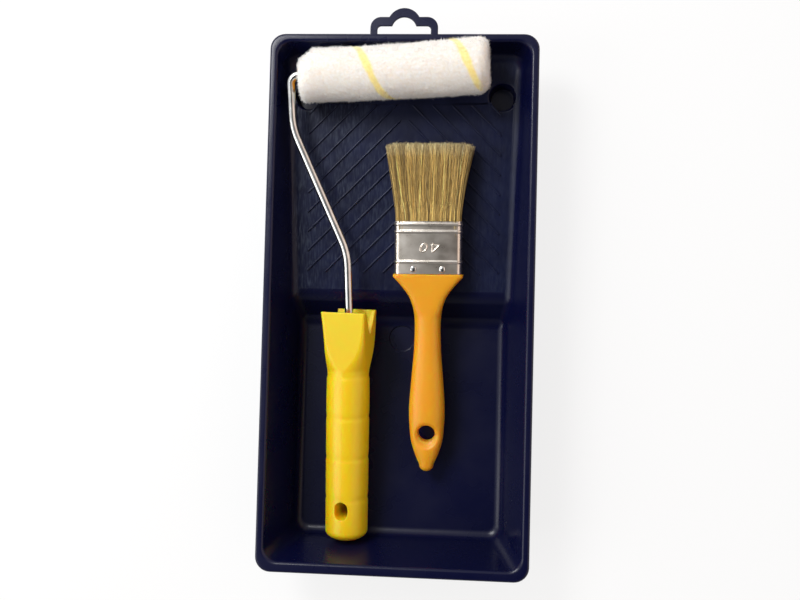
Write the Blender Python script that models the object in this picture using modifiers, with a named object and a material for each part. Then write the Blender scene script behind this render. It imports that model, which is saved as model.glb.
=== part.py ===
"""Paint tray set: a moulded tray with a hang tab, a mini roller and a 40 mm flat brush.

The tray stands on its well floor and two hollow feet. The roller lies with its butt on the well
floor, the near end of its sleeve on the ramp and the far end on the rim. The brush lies on the
ribbed ramp. Metres, +Z up, +Y towards the hang tab.
"""
import math

import bmesh
import bpy
import numpy as np
from mathutils import Matrix, Vector

SEAT_GAP = 0.0003          # left between pieces that touch or fit in one another

# ---- tray ----------------------------------------------------------------------------------
TRAY_WIDTH = 0.156
TRAY_LENGTH = 0.311
TRAY_HEIGHT = 0.046
TRAY_WALL = 0.0014
RIM_WIDTH = 0.0045         # flat rim along the sides and the shallow end
WELL_RIM_WIDTH = 0.006     # flat rim at the well end
RIM_CORNER = 0.009
RIM_ROUND = 0.0017
SKIRT_DEPTH = 0.005        # turned-down edge of the rim
WALL_DRAFT = math.radians(14)
WELL_END_DRAFT = math.radians(12.8)
FLOOR_CORNER = 0.0075
FLOOR_ROUND = 0.003
RAMP_TOP_DEPTH = 0.016     # rim down to the ramp at the shallow end
RAMP_END_DEPTH = 0.031     # rim down to the ramp where it drops into the well
WELL_LENGTH = 0.1300       # flat floor of the well
STEP_RUN = 0.0135          # steep face between well floor and ramp, along Y
CORNER_STEPS = 4

RIB_PITCH = 0.01165
RIB_WIDTH = 0.0011
RIB_HEIGHT = 0.0008
RIB_FIELD_WIDTH = 0.115
RIB_GAP = 0.005            # bare strip along the centre line
RIB_END_MARGIN = 0.0148    # ramp's lower edge to the rib field
RIB_TOP_MARGIN = 0.029     # rib field to the shallow end's wall

FOOT_SPACING = 0.1158      # between the two hollow feet
FOOT_SETBACK = 0.0323      # foot's centre to the shallow end's outer edge
FOOT_RADIUS = 0.0080       # inside the recess, at the ramp
FOOT_TAPER = 0.0010
FOOT_MOUTH = 0.0013        # chamfer round the recess
GATE_RADIUS = 0.0078       # round moulding gate in the well floor
GATE_DEPTH = 0.0006
GATE_SETBACK = 0.0108      # gate's centre to the steep face's foot

TAB_WIDTH = 0.0392
TAB_THICKNESS = 0.0018
TAB_BAR = 0.0053           # width of the bar round the slot
TAB_CORNER = 0.0062
SLOT_WIDTH = 0.0309
SLOT_HEIGHT = 0.0044
SLOT_HUMP_WIDTH = 0.0138
SLOT_HUMP_RISE = 0.0052

# ---- roller --------------------------------------------------------------------------------
GRIP_LENGTH = 0.1372
GRIP_RADIUS = 0.0129
GRIP_BUTT_RADIUS = 0.0126
GRIP_DOME = 0.0060         # length of the domed butt
GRIP_WALL = 0.0024
MOUTH_WIDTH = 0.0266
MOUTH_DEPTH = 0.0274
MOUTH_CORNER = 0.0015
MOUTH_BLEND = 0.0345       # from the square mouth to the round grip
MOUTH_POCKET = 0.022
SCOOP_DEPTH = 0.012
SCOOP_WIDTH = 0.0186
SOCKET_RADIUS = 0.0060
SOCKET_RECESS = 0.0025     # socket's end below the mouth
GROOVE_COUNT = 4
GROOVE_FIRST = 0.0383      # mouth to the first ring groove
GROOVE_PITCH = 0.0244
GROOVE_DEPTH = 0.0005
GROOVE_WIDTH = 0.0050
HANG_SLOT_WIDTH = 0.0090
HANG_SLOT_LENGTH = 0.0120
HANG_SLOT_SETBACK = 0.0199  # slot's centre to the butt
GRIP_TWIST = math.radians(5.5)

WIRE_RADIUS = 0.0025
WIRE_INSERT = 0.044        # length of wire inside the socket
WIRE_FIRST_BEND = (-0.0014, 0.0337)   # across and along the grip, from the mouth
WIRE_SECOND_BEND = (-0.0347, 0.1066)
WIRE_TOP_BEND = (-0.0364, 0.1368)
WIRE_SOFT_BEND = 0.040     # radii of the bends
WIRE_TIGHT_BEND = 0.0050
AXLE_ANGLE = math.radians(3.0)       # axle off square to the grip
AXLE_LEAD = 0.0058         # top bend's corner to the sleeve's near end

CORE_LENGTH = 0.1097
CORE_RADIUS = 0.0085
CORE_WALL = 0.0010
NAP_RADIUS = 0.0153
NAP_OVERHANG = 0.0006      # pile past each end of the core
NAP_END_ROUND = 0.0050
BEARING_SPIGOT = 0.010
BEARING_FLANGE = 0.0015
BEARING_FLANGE_RADIUS = 0.0080
BEARING_HUB_RADIUS = 0.0045
BEARING_SHELL = 0.0015
BEARING_RECESS = 0.006     # outer bearing's face inside the core's end
RETAINER_RADIUS = 0.0052
RETAINER_THICKNESS = 0.0006
RETAINER_DISH = 0.0006
AXLE_TAIL = 0.0025         # axle past the retainer
AXLE_STEPS = 36

ROLLER_SIDE_CLEARANCE = 0.0050   # wire to the tray's side wall at rim level
BUTT_CLEARANCE = 0.0012          # grip's butt to the well's end wall

# ---- brush ---------------------------------------------------------------------------------
FERRULE_WIDTH = 0.0395
FERRULE_THICKNESS = 0.0132
FERRULE_LENGTH = 0.0308
FERRULE_CORNER = 0.0032
FERRULE_SHEET = 0.00045
BEAD_HEIGHT = 0.0005
BEAD_WIDTH = 0.0026
BEADS_FROM_TOP = (0.0018, 0.0061)
BEAD_FROM_HANDLE = 0.0070
NAIL_SPACING = 0.0169
NAIL_SETBACK = 0.0028
NAIL_HEAD_RADIUS = 0.0019
NAIL_HEAD_HEIGHT = 0.0005
NAIL_SHANK_RADIUS = 0.0006
NAIL_LENGTH = 0.0050
TENON_LENGTH = 0.0135
RESIN_DEPTH = 0.0033
PLUG_THICKNESS = 0.0020
PLUG_TIP_THICKNESS = 0.0006
PLUG_SIDE_MARGIN = 0.0022
PLUG_TOP_MARGIN = 0.0015   # plug's end below the ferrule's edge
BRISTLE_LENGTH = 0.0464    # out of the ferrule
BRISTLE_TIP_WIDTH = 0.0510
BRISTLE_TIP_THICKNESS = 0.0090
BRISTLE_BULGE = 0.0003     # pile's swell past the ferrule's faces

FLANGE_WIDTH = 0.0414
FLANGE_THICKNESS = 0.0146
FLANGE_LIP = 0.0016
NECK_WIDTH = 0.0157
NECK_THICKNESS = 0.0118
NECK_START = 0.0250        # from the ferrule's edge
NECK_END = 0.0450
BELLY_WIDTH = 0.0197
BELLY_THICKNESS = 0.0138
BELLY_CENTRE = 0.0830
BRUSH_TIP_WIDTH = 0.0085
BRUSH_TIP_THICKNESS = 0.0075
BRUSH_HANDLE_LENGTH = 0.1181
HANG_HOLE_RADIUS = 0.00455
HANG_HOLE_DISH = 0.0068
HANG_HOLE_SETBACK = 0.0234  # hole's centre to the handle's tip

BRUSH_OFFSET = 0.0163      # brush's centre line from the tray's
BRUSH_UP_RAMP = 0.0152     # ramp's lower edge to the ferrule's handle end
BRUSH_TURN = math.radians(0.5)

# ---- sizes that follow ---------------------------------------------------------------------
TAB_REACH = SLOT_HEIGHT + SLOT_HUMP_RISE + TAB_BAR
FLOOR_Z = TRAY_WALL
RAMP_END_Z = TRAY_HEIGHT - RAMP_END_DEPTH
RAMP_TOP_Z = TRAY_HEIGHT - RAMP_TOP_DEPTH
INNER_HALF_WIDTH = TRAY_WIDTH / 2 - RIM_WIDTH
INNER_TOP_Y = TRAY_LENGTH / 2 - RIM_WIDTH
INNER_LOW_Y = -TRAY_LENGTH / 2 + WELL_RIM_WIDTH
RAMP_TOP_Y = INNER_TOP_Y - RAMP_TOP_DEPTH * math.tan(WALL_DRAFT)
FLOOR_LOW_Y = INNER_LOW_Y + (TRAY_HEIGHT - FLOOR_Z) * math.tan(WELL_END_DRAFT)
FLOOR_TOP_Y = FLOOR_LOW_Y + WELL_LENGTH
RAMP_END_Y = FLOOR_TOP_Y + STEP_RUN
RAMP_SLOPE = math.atan2(RAMP_TOP_Z - RAMP_END_Z, RAMP_TOP_Y - RAMP_END_Y)

BORE_RADIUS = WIRE_RADIUS + SEAT_GAP
CORE_BORE = CORE_RADIUS - CORE_WALL
FERRULE_BORE_WIDTH = FERRULE_WIDTH - 2 * FERRULE_SHEET
FERRULE_BORE_THICKNESS = FERRULE_THICKNESS - 2 * FERRULE_SHEET
FERRULE_BORE_CORNER = FERRULE_CORNER - FERRULE_SHEET
NAIL_REACH = FERRULE_THICKNESS / 2 + SEAT_GAP + NAIL_HEAD_HEIGHT


# ---- scene and object helpers --------------------------------------------------------------
def clear_scene():
    for item in list(bpy.data.objects):
        bpy.data.objects.remove(item, do_unlink=True)


def new_collection(name):
    collection = bpy.data.collections.new(name)
    bpy.context.scene.collection.children.link(collection)
    return collection


def make_material(name, colour, roughness, metallic=0.0):
    material = bpy.data.materials.new(name)
    material.use_nodes = True
    shader = material.node_tree.nodes["Principled BSDF"]
    shader.inputs["Base Color"].default_value = (*colour, 1.0)
    shader.inputs["Roughness"].default_value = roughness
    shader.inputs["Metallic"].default_value = metallic
    return material


def add_empty(name, parent=None, matrix=None):
    empty = bpy.data.objects.new(name, None)
    empty.empty_display_size = 0.01
    PARTS.objects.link(empty)
    empty.parent = parent
    if matrix is not None:
        empty.matrix_local = matrix
    return empty


def add_object(name, mesh, material, parent, matrix=None):
    piece = bpy.data.objects.new(name, mesh)
    piece.data.materials.append(material)
    PARTS.objects.link(piece)
    piece.parent = parent
    if matrix is not None:
        piece.matrix_local = matrix
    return piece


def add_cutter(name, mesh, parent, matrix=None):
    cutter = bpy.data.objects.new(name, mesh)
    CUTTERS.objects.link(cutter)
    cutter.parent = parent
    cutter.hide_render = True
    cutter.display_type = "WIRE"
    if matrix is not None:
        cutter.matrix_local = matrix
    return cutter


def combine(piece, cutter, operation):
    modifier = piece.modifiers.new(operation.lower(), "BOOLEAN")
    modifier.operation = operation
    modifier.solver = "EXACT"
    modifier.object = cutter


def solidify(piece, thickness):
    modifier = piece.modifiers.new("wall", "SOLIDIFY")
    modifier.thickness = thickness
    modifier.offset = -1.0
    modifier.use_even_offset = True


def mesh_from_bmesh(name, bm, smooth_angle=None):
    mesh = bpy.data.meshes.new(name)
    bm.to_mesh(mesh)
    bm.free()
    if smooth_angle is not None:
        mesh.shade_smooth()
        mesh.set_sharp_from_angle(angle=math.radians(smooth_angle))
    return mesh


# ---- shape helpers -------------------------------------------------------------------------
def arc(centre, radius, start, end, steps):
    """Points of an arc in a plane, from one angle in degrees to the other."""
    angles = [math.radians(start + (end - start) * step / steps) for step in range(steps + 1)]
    return [(centre[0] + radius * math.cos(a), centre[1] + radius * math.sin(a)) for a in angles]


def rounded_box_ring(half_width, half_depth, corner, steps=5):
    """Anticlockwise outline of a rectangle with round corners."""
    corner = min(corner, 0.985 * half_width, 0.985 * half_depth)
    points = []
    for index, (side, up) in enumerate(((1, 1), (-1, 1), (-1, -1), (1, -1))):
        centre = (side * (half_width - corner), up * (half_depth - corner))
        points += arc(centre, corner, 90 * index, 90 * (index + 1), steps)
    return points


def loft(name, sections, smooth_angle=40):
    """Closed body through sections (y, outline of (x, z) points), capped at both ends."""
    bm = bmesh.new()
    rings = [[bm.verts.new((x, y, z)) for x, z in outline] for y, outline in sections]
    for low, high in zip(rings, rings[1:]):
        count = len(low)
        for index in range(count):
            following = (index + 1) % count
            bm.faces.new((low[index], high[index], high[following], low[following]))
    bm.faces.new(rings[0])
    bm.faces.new(list(reversed(rings[-1])))
    bmesh.ops.recalc_face_normals(bm, faces=bm.faces)
    return mesh_from_bmesh(name, bm, smooth_angle)


def smooth_through(stations, place):
    """Value at a place along a curve that passes smoothly through (place, value) stations."""
    places = [station[0] for station in stations]
    index = max(1, min(len(places) - 1, int(np.searchsorted(places, place))))
    (x0, y0), (x1, y1) = stations[index - 1], stations[index]
    slopes = []
    for centre in (index - 1, index):
        before = stations[max(0, centre - 1)]
        after = stations[min(len(stations) - 1, centre + 1)]
        slopes.append((after[1] - before[1]) / (after[0] - before[0]))
    t = (place - x0) / (x1 - x0)
    rise = (2 * t**3 - 3 * t**2 + 1) * y0 + (3 * t**2 - 2 * t**3) * y1
    return rise + (x1 - x0) * ((t**3 - 2 * t**2 + t) * slopes[0] + (t**3 - t**2) * slopes[1])


def plate(name, outline, thickness):
    """Flat body of an outline in XY, centred on its plane, from a filled and extruded curve."""
    curve = bpy.data.curves.new(name, "CURVE")
    curve.dimensions = "2D"
    curve.fill_mode = "BOTH"
    curve.extrude = thickness / 2
    spline = curve.splines.new("POLY")
    spline.points.add(len(outline) - 1)
    for point, (x, y) in zip(spline.points, outline):
        point.co = (x, y, 0.0, 1.0)
    spline.use_cyclic_u = True
    return mesh_of_curve(name, curve)


def mesh_of_curve(name, curve):
    holder = bpy.data.objects.new(name, curve)
    CUTTERS.objects.link(holder)
    graph = bpy.context.evaluated_depsgraph_get()
    mesh = bpy.data.meshes.new_from_object(holder.evaluated_get(graph))
    bpy.data.objects.remove(holder, do_unlink=True)
    bm = bmesh.new()
    bm.from_mesh(mesh)
    bmesh.ops.remove_doubles(bm, verts=bm.verts, dist=1e-6)
    bmesh.ops.recalc_face_normals(bm, faces=bm.faces)
    bm.to_mesh(mesh)
    bm.free()
    return mesh


def profile_mesh(name, profile, closed):
    """Edges of a profile of (radius, height) points in the XZ plane."""
    count = len(profile)
    edges = [(index, index + 1) for index in range(count - 1)]
    if closed:
        edges.append((count - 1, 0))
    mesh = bpy.data.meshes.new(name)
    mesh.from_pydata([(radius, 0.0, height) for radius, height in profile], edges, [])
    return mesh


def turn(piece, steps):
    """Turns the profile round the object's Z axis."""
    modifier = piece.modifiers.new("turn", "SCREW")
    modifier.axis = "Z"
    modifier.steps = steps
    modifier.render_steps = steps
    modifier.use_smooth_shade = True
    modifier.use_merge_vertices = True
    modifier.merge_threshold = 1e-6


def cylinder_mesh(name, low_radius, high_radius, length, segments):
    bm = bmesh.new()
    bmesh.ops.create_cone(bm, cap_ends=True, segments=segments, radius1=low_radius,
                          radius2=high_radius, depth=length)
    return mesh_from_bmesh(name, bm, 40)


# ---- tray ----------------------------------------------------------------------------------
def floor_height(y):
    """Height of the tray's upper surface along the well floor, the steep face and the ramp."""
    places = (FLOOR_LOW_Y, FLOOR_TOP_Y, RAMP_END_Y, RAMP_TOP_Y)
    heights = (FLOOR_Z, FLOOR_Z, RAMP_END_Z, RAMP_TOP_Z)
    return float(np.interp(y, places, heights))


def foot_half_width(y):
    """Half the floor's width, which the drafted side walls leave at that depth."""
    return INNER_HALF_WIDTH - (TRAY_HEIGHT - floor_height(y)) * math.tan(WALL_DRAFT)


def tray_ring(half_low, half_high, y_low, y_high, corner, half_at_step, half_at_ramp):
    """Anticlockwise plan outline, with a point on each side at both ends of the steep face."""
    ring = arc((half_low - corner, y_low + corner), corner, -90, 0, CORNER_STEPS)
    ring += [(half_at_step, FLOOR_TOP_Y), (half_at_ramp, RAMP_END_Y)]
    ring += arc((half_high - corner, y_high - corner), corner, 0, 90, CORNER_STEPS)
    return ring + [(-x, y) for x, y in reversed(ring)]


def tray_skin():
    """Upper skin of the tray: skirt, rim, drafted walls, well floor, steep face and ramp."""
    half = TRAY_WIDTH / 2
    low, high = -TRAY_LENGTH / 2, TRAY_LENGTH / 2
    outer = tray_ring(half, half, low, high, RIM_CORNER, half, half)
    inner_half = INNER_HALF_WIDTH
    inner = tray_ring(inner_half, inner_half, INNER_LOW_Y, INNER_TOP_Y,
                      FLOOR_CORNER, inner_half, inner_half)
    foot = tray_ring(foot_half_width(FLOOR_LOW_Y), foot_half_width(RAMP_TOP_Y), FLOOR_LOW_Y,
                     RAMP_TOP_Y, FLOOR_CORNER, foot_half_width(FLOOR_TOP_Y),
                     foot_half_width(RAMP_END_Y))
    bm = bmesh.new()
    rings = [
        [bm.verts.new((x, y, TRAY_HEIGHT - SKIRT_DEPTH)) for x, y in outer],
        [bm.verts.new((x, y, TRAY_HEIGHT)) for x, y in outer],
        [bm.verts.new((x, y, TRAY_HEIGHT)) for x, y in inner],
        [bm.verts.new((x, y, floor_height(y))) for x, y in foot],
    ]
    count = len(foot)
    for outside, inside in zip(rings, rings[1:]):
        for index in range(count):
            following = (index + 1) % count
            bm.faces.new((outside[index], outside[following], inside[following], inside[index]))
    foot_ring = rings[3]
    for index in range(count // 2 - 1):
        bm.faces.new((foot_ring[-1 - index], foot_ring[index],
                      foot_ring[index + 1], foot_ring[-2 - index]))
    round_tray_edges(bm, rings)
    return mesh_from_bmesh("tray_skin", bm, 35)


def round_tray_edges(bm, rings):
    count = len(rings[0])
    rim_edges = []
    floor_edges = []
    for ring, edges in ((rings[1], rim_edges), (rings[2], rim_edges), (rings[3], floor_edges)):
        edges += [bm.edges.get((ring[i], ring[(i + 1) % count])) for i in range(count)]
    for index in (CORNER_STEPS + 1, CORNER_STEPS + 2):
        floor_edges.append(bm.edges.get((rings[3][index], rings[3][-1 - index])))
    bmesh.ops.bevel(bm, geom=floor_edges, offset=FLOOR_ROUND, segments=3, profile=0.5,
                    affect="EDGES", clamp_overlap=False)
    bmesh.ops.bevel(bm, geom=rim_edges, offset=RIM_ROUND, segments=3, profile=0.5,
                    affect="EDGES", clamp_overlap=False)


def ramp_matrix(x, along, above):
    """Frame on the ramp: along measured up the slope from its lower edge, above from its face."""
    corner = Matrix.Translation((x, RAMP_END_Y, RAMP_END_Z))
    return corner @ Matrix.Rotation(RAMP_SLOPE, 4, "X") @ Matrix.Translation((0, along, above))


def rib_spans():
    """Ends (x, along the ramp) of the ribs on the +X half, which run down and outwards."""
    ramp_length = math.hypot(RAMP_TOP_Y - RAMP_END_Y, RAMP_TOP_Z - RAMP_END_Z)
    low, high = RIB_END_MARGIN, ramp_length - RIB_TOP_MARGIN
    inside, outside = RIB_GAP / 2, RIB_FIELD_WIDTH / 2
    spans = []
    peak = low + RIB_PITCH
    while peak < high + outside:
        start = max(inside, peak - high)
        end = min(outside, peak - low)
        if end - start > RIB_PITCH / 3:
            spans.append(((start, peak - start), (end, peak - end)))
        peak += RIB_PITCH
    return spans


def rib_mesh():
    """All ribs of the chevron field, sunk a little into the ramp's face."""
    sunk = TRAY_WALL / 3
    height = RIB_HEIGHT + sunk
    bm = bmesh.new()
    for (x0, y0), (x1, y1) in rib_spans():
        for side in (1, -1):
            start, end = Vector((side * x0, y0)), Vector((side * x1, y1))
            middle = (start + end) / 2
            turned = Matrix.Rotation(math.atan2(end.y - start.y, end.x - start.x), 4, "Z")
            size = Matrix.Diagonal(((end - start).length, RIB_WIDTH, height, 1.0))
            place = ramp_matrix(middle.x, middle.y, height / 2 - sunk)
            bmesh.ops.create_cube(bm, size=1.0, matrix=place @ turned @ size)
    return mesh_from_bmesh("rib_field", bm)


def foot_meshes():
    """Outside and inside of one hollow foot, both standing on the tray's XY plane."""
    y = TRAY_LENGTH / 2 - FOOT_SETBACK
    ramp_z = floor_height(y)
    outside = bmesh.new()
    wide = FOOT_RADIUS + TRAY_WALL
    bmesh.ops.create_cone(outside, cap_ends=True, segments=32, radius1=wide - FOOT_TAPER,
                          radius2=wide, depth=ramp_z * 1.2,
                          matrix=Matrix.Translation((0, 0, ramp_z * 0.6)))
    middle = ramp_z - TRAY_WALL / 2
    normal = Vector((0, -math.sin(RAMP_SLOPE), math.cos(RAMP_SLOPE)))
    geometry = outside.verts[:] + outside.edges[:] + outside.faces[:]
    cut = bmesh.ops.bisect_plane(outside, geom=geometry, plane_co=(0, 0, middle),
                                 plane_no=normal, clear_outer=True)
    rim = [item for item in cut["geom_cut"] if isinstance(item, bmesh.types.BMEdge)]
    bmesh.ops.holes_fill(outside, edges=rim)
    bmesh.ops.recalc_face_normals(outside, faces=outside.faces)
    top = ramp_z + 2 * FOOT_RADIUS
    profile = [(0.0, top), (FOOT_RADIUS + 2 * FOOT_MOUTH, top),
               (FOOT_RADIUS + 2 * FOOT_MOUTH, ramp_z + FOOT_MOUTH),
               (FOOT_RADIUS, ramp_z - FOOT_MOUTH),
               (FOOT_RADIUS - FOOT_TAPER, TRAY_WALL), (0.0, TRAY_WALL)]
    return mesh_from_bmesh("foot_outside", outside, 40), profile_mesh("recess", profile, False)


def mirrored(points):
    return [(-x, y) for x, y in reversed(points)]


def hang_tab_outline():
    """Arch of the hang tab: outer edge, then the slot's edge back, both open at the rim."""
    half = TAB_WIDTH / 2
    slot_half = SLOT_WIDTH / 2
    hump_half = SLOT_HUMP_WIDTH / 2
    shoulder = SLOT_HEIGHT + TAB_BAR
    crown_half = hump_half + TAB_BAR / 3
    root = -RIM_ROUND - TRAY_WALL / 3
    hump_radius = (hump_half**2 + SLOT_HUMP_RISE**2) / (2 * SLOT_HUMP_RISE)
    crown_radius = (crown_half**2 + SLOT_HUMP_RISE**2) / (2 * SLOT_HUMP_RISE)
    hump_angle = math.degrees(math.asin(min(1.0, hump_half / hump_radius)))
    crown_angle = math.degrees(math.asin(min(1.0, crown_half / crown_radius)))
    end = SLOT_HEIGHT / 2
    outside = [(half, root)]
    outside += arc((half - TAB_CORNER, shoulder - TAB_CORNER), TAB_CORNER, 0, 90, 6)
    crown = arc((0, TAB_REACH - crown_radius), crown_radius, 90 - crown_angle,
                90 + crown_angle, 12)
    inside = [(slot_half, root)]
    inside += arc((slot_half - end, SLOT_HEIGHT - end), end, 0, 90, 5)
    hump_low = SLOT_HEIGHT + SLOT_HUMP_RISE - hump_radius
    hump = arc((0, hump_low), hump_radius, 90 - hump_angle, 90 + hump_angle, 12)
    outer = outside + crown + mirrored(outside)
    inner = inside + hump + mirrored(inside)
    return outer + list(reversed(inner))


def build_tray(parent):
    tray = add_object("tray", tray_skin(), MATERIALS["tray"], parent)
    solidify(tray, TRAY_WALL)
    tab_place = Matrix.Translation((0, TRAY_LENGTH / 2, TRAY_HEIGHT - 0.6 * TAB_THICKNESS))
    tab = add_cutter("hang_tab", plate("hang_tab", hang_tab_outline(), TAB_THICKNESS),
                     parent, tab_place)
    combine(tray, tab, "UNION")
    ribs = add_cutter("ribs", rib_mesh(), parent)
    combine(tray, ribs, "UNION")
    foot_outside, recess_profile = foot_meshes()
    for side, label in ((-1, "left"), (1, "right")):
        place = Matrix.Translation((side * FOOT_SPACING / 2, TRAY_LENGTH / 2 - FOOT_SETBACK, 0))
        foot = add_cutter(f"foot_{label}", foot_outside, parent, place)
        combine(tray, foot, "UNION")
        recess = add_cutter(f"foot_recess_{label}", recess_profile, parent, place)
        turn(recess, 32)
        combine(tray, recess, "DIFFERENCE")
    gate_mesh = cylinder_mesh("gate", GATE_RADIUS, GATE_RADIUS + GATE_DEPTH, 2 * GATE_DEPTH, 32)
    gate = add_cutter("gate", gate_mesh, parent,
                      Matrix.Translation((0, FLOOR_TOP_Y - GATE_SETBACK, FLOOR_Z)))
    combine(tray, gate, "DIFFERENCE")
    return tray


# ---- roller --------------------------------------------------------------------------------
def axle_point(distance):
    """Place across and along the grip of a point on the axle, from the sleeve's near end."""
    reach = AXLE_LEAD + distance
    return (WIRE_TOP_BEND[0] + reach * math.cos(AXLE_ANGLE),
            WIRE_TOP_BEND[1] + reach * math.sin(AXLE_ANGLE))


def rest_height(y):
    """Height of the axle over a place in plan: the sleeve lies on the ramp or on the rim.

    The flat rim and the hang tab go on outwards from the wall's upper edge, at one level.
    """
    reach = NAP_RADIUS + SEAT_GAP
    on_ramp = RAMP_END_Z + (y - RAMP_END_Y) * math.tan(RAMP_SLOPE) + reach / math.cos(RAMP_SLOPE)
    short_of_rim = max(INNER_TOP_Y - y, 0.0)
    if short_of_rim >= reach:
        return on_ramp
    return max(on_ramp, TRAY_HEIGHT + math.sqrt(reach**2 - short_of_rim**2))


def roller_matrix():
    """Resting place of the roller, its origin at the middle of the grip's mouth.

    Three points give the plane of the bent wire: the butt on the well floor and the two ends
    of the sleeve. Their places in plan shift a little with the tilt, so it is solved in turns.
    """
    butt = GRIP_LENGTH - GRIP_DOME
    points = ((0.0, -butt), axle_point(0.0), axle_point(CORE_LENGTH))
    x = -INNER_HALF_WIDTH + ROLLER_SIDE_CLEARANCE + WIRE_RADIUS - WIRE_TOP_BEND[0]
    butt_z = FLOOR_Z + SEAT_GAP + GRIP_BUTT_RADIUS
    end_wall = FLOOR_LOW_Y - (butt_z - FLOOR_Z) * math.tan(WELL_END_DRAFT)
    pitch, roll = RAMP_SLOPE, 0.0
    matrix = Matrix.Identity(4)
    for _ in range(30):
        y = end_wall + BUTT_CLEARANCE + GRIP_LENGTH * math.cos(pitch)
        turned = Matrix.Rotation(pitch, 4, "X") @ Matrix.Rotation(-roll, 4, "Y")
        in_plan = [y + (turned @ Vector((u, v, 0.0))).y for u, v in points]
        heights = [butt_z, rest_height(in_plan[1]), rest_height(in_plan[2])]
        rows = [(1.0, u, v) for u, v in points]
        height, across, along = np.linalg.solve(np.array(rows), np.array(heights))
        pitch = math.asin(along)
        roll = math.asin(across / math.cos(pitch))
        matrix = Matrix.Translation((x, y, height)) @ turned
    return matrix


def grip_radius(distance):
    """Radius of the round grip, with its shallow ring grooves, at a distance from the mouth."""
    share = (distance - MOUTH_BLEND) / (GRIP_LENGTH - GRIP_DOME - MOUTH_BLEND)
    radius = GRIP_RADIUS + (GRIP_BUTT_RADIUS - GRIP_RADIUS) * share
    for number in range(GROOVE_COUNT):
        offset = (distance - GROOVE_FIRST - number * GROOVE_PITCH) / (GROOVE_WIDTH / 2)
        if abs(offset) < 1:
            radius -= GROOVE_DEPTH * (1 + math.cos(math.pi * offset)) / 2
    return radius


def grip_sections():
    """Sections of the grip from the square mouth through the round grip to the domed butt."""
    sections = []
    blend_steps = 9
    for step in range(blend_steps):
        share = step / blend_steps
        half_width = MOUTH_WIDTH / 2 + (GRIP_RADIUS - MOUTH_WIDTH / 2) * share
        half_depth = MOUTH_DEPTH / 2 + (GRIP_RADIUS - MOUTH_DEPTH / 2) * share
        flat = (MOUTH_WIDTH / 2 - MOUTH_CORNER) * math.sqrt(1 - share**2)
        ring = rounded_box_ring(half_width, half_depth, half_width - flat, 7)
        sections.append((-MOUTH_BLEND * share, ring))
    places = [MOUTH_BLEND]
    for number in range(GROOVE_COUNT):
        centre = GROOVE_FIRST + number * GROOVE_PITCH
        places += [centre + GROOVE_WIDTH * part / 6 for part in range(-3, 4)]
    places += [GRIP_LENGTH - GRIP_DOME]
    for place in sorted(place for place in places if place >= MOUTH_BLEND):
        if sections and MOUTH_BLEND < place < -sections[-1][0] + GROOVE_WIDTH / 10:
            continue
        radius = grip_radius(place)
        sections.append((-place, rounded_box_ring(radius, radius, radius, 7)))
    dome_steps = 6
    for step in range(1, dome_steps):
        angle = math.pi / 2 * step / dome_steps
        radius = GRIP_BUTT_RADIUS * math.cos(angle)
        place = GRIP_LENGTH - GRIP_DOME * (1 - math.sin(angle))
        sections.append((-place, rounded_box_ring(radius, radius, radius, 7)))
    return sections


def scoop_outline():
    """Side view of the scoop through both sides of the mouth: along the grip and in depth."""
    half = SCOOP_WIDTH / 2
    bottom = arc((0, -SCOOP_DEPTH + half), half, 180, 360, 12)
    return [(-half, MOUTH_CORNER)] + bottom + [(half, MOUTH_CORNER)]


def build_grip(frame):
    twist = Matrix.Rotation(GRIP_TWIST, 4, "Y").inverted()
    grip = add_object("roller_handle", loft("roller_handle", grip_sections(), 25),
                      MATERIALS["roller_handle"], frame, twist)
    pocket_half = (MOUTH_WIDTH / 2 - GRIP_WALL, MOUTH_DEPTH / 2 - GRIP_WALL)
    pocket_ring = rounded_box_ring(*pocket_half, MOUTH_CORNER)
    narrow_ring = rounded_box_ring(pocket_half[0] - MOUTH_CORNER, pocket_half[1] - MOUTH_CORNER,
                                   MOUTH_CORNER)
    pocket = add_cutter("mouth_pocket",
                        loft("mouth_pocket", [(MOUTH_CORNER, pocket_ring),
                                              (-MOUTH_POCKET, narrow_ring)]), frame, twist)
    combine(grip, pocket, "DIFFERENCE")
    on_side = Matrix.Rotation(math.pi / 2, 4, "Y")
    scoop_place = twist @ on_side
    scoop = add_cutter("mouth_scoop", plate("mouth_scoop", scoop_outline(), 2 * MOUTH_WIDTH),
                       frame, scoop_place)
    combine(grip, scoop, "DIFFERENCE")
    socket_length = MOUTH_POCKET + MOUTH_CORNER - SOCKET_RECESS
    along = Matrix.Rotation(-math.pi / 2, 4, "X")
    socket = add_cutter("wire_socket",
                        cylinder_mesh("wire_socket", SOCKET_RADIUS, SOCKET_RADIUS,
                                      socket_length, 28), frame,
                        Matrix.Translation((0, -SOCKET_RECESS - socket_length / 2, 0)) @ along)
    combine(grip, socket, "UNION")
    bore_length = WIRE_INSERT + SEAT_GAP
    bore = add_cutter("wire_bore",
                      cylinder_mesh("wire_bore", BORE_RADIUS, BORE_RADIUS, 2 * bore_length, 20),
                      frame, along)
    combine(grip, bore, "DIFFERENCE")
    half = HANG_SLOT_WIDTH / 2
    straight = HANG_SLOT_LENGTH / 2 - half
    outline = arc((0, straight), half, 0, 180, 10) + arc((0, -straight), half, 180, 360, 10)
    slot_place = twist @ Matrix.Translation((0, HANG_SLOT_SETBACK - GRIP_LENGTH, 0))
    slot = add_cutter("hang_slot", plate("hang_slot", outline, 4 * GRIP_RADIUS), frame, slot_place)
    combine(grip, slot, "DIFFERENCE")
    return grip


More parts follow.
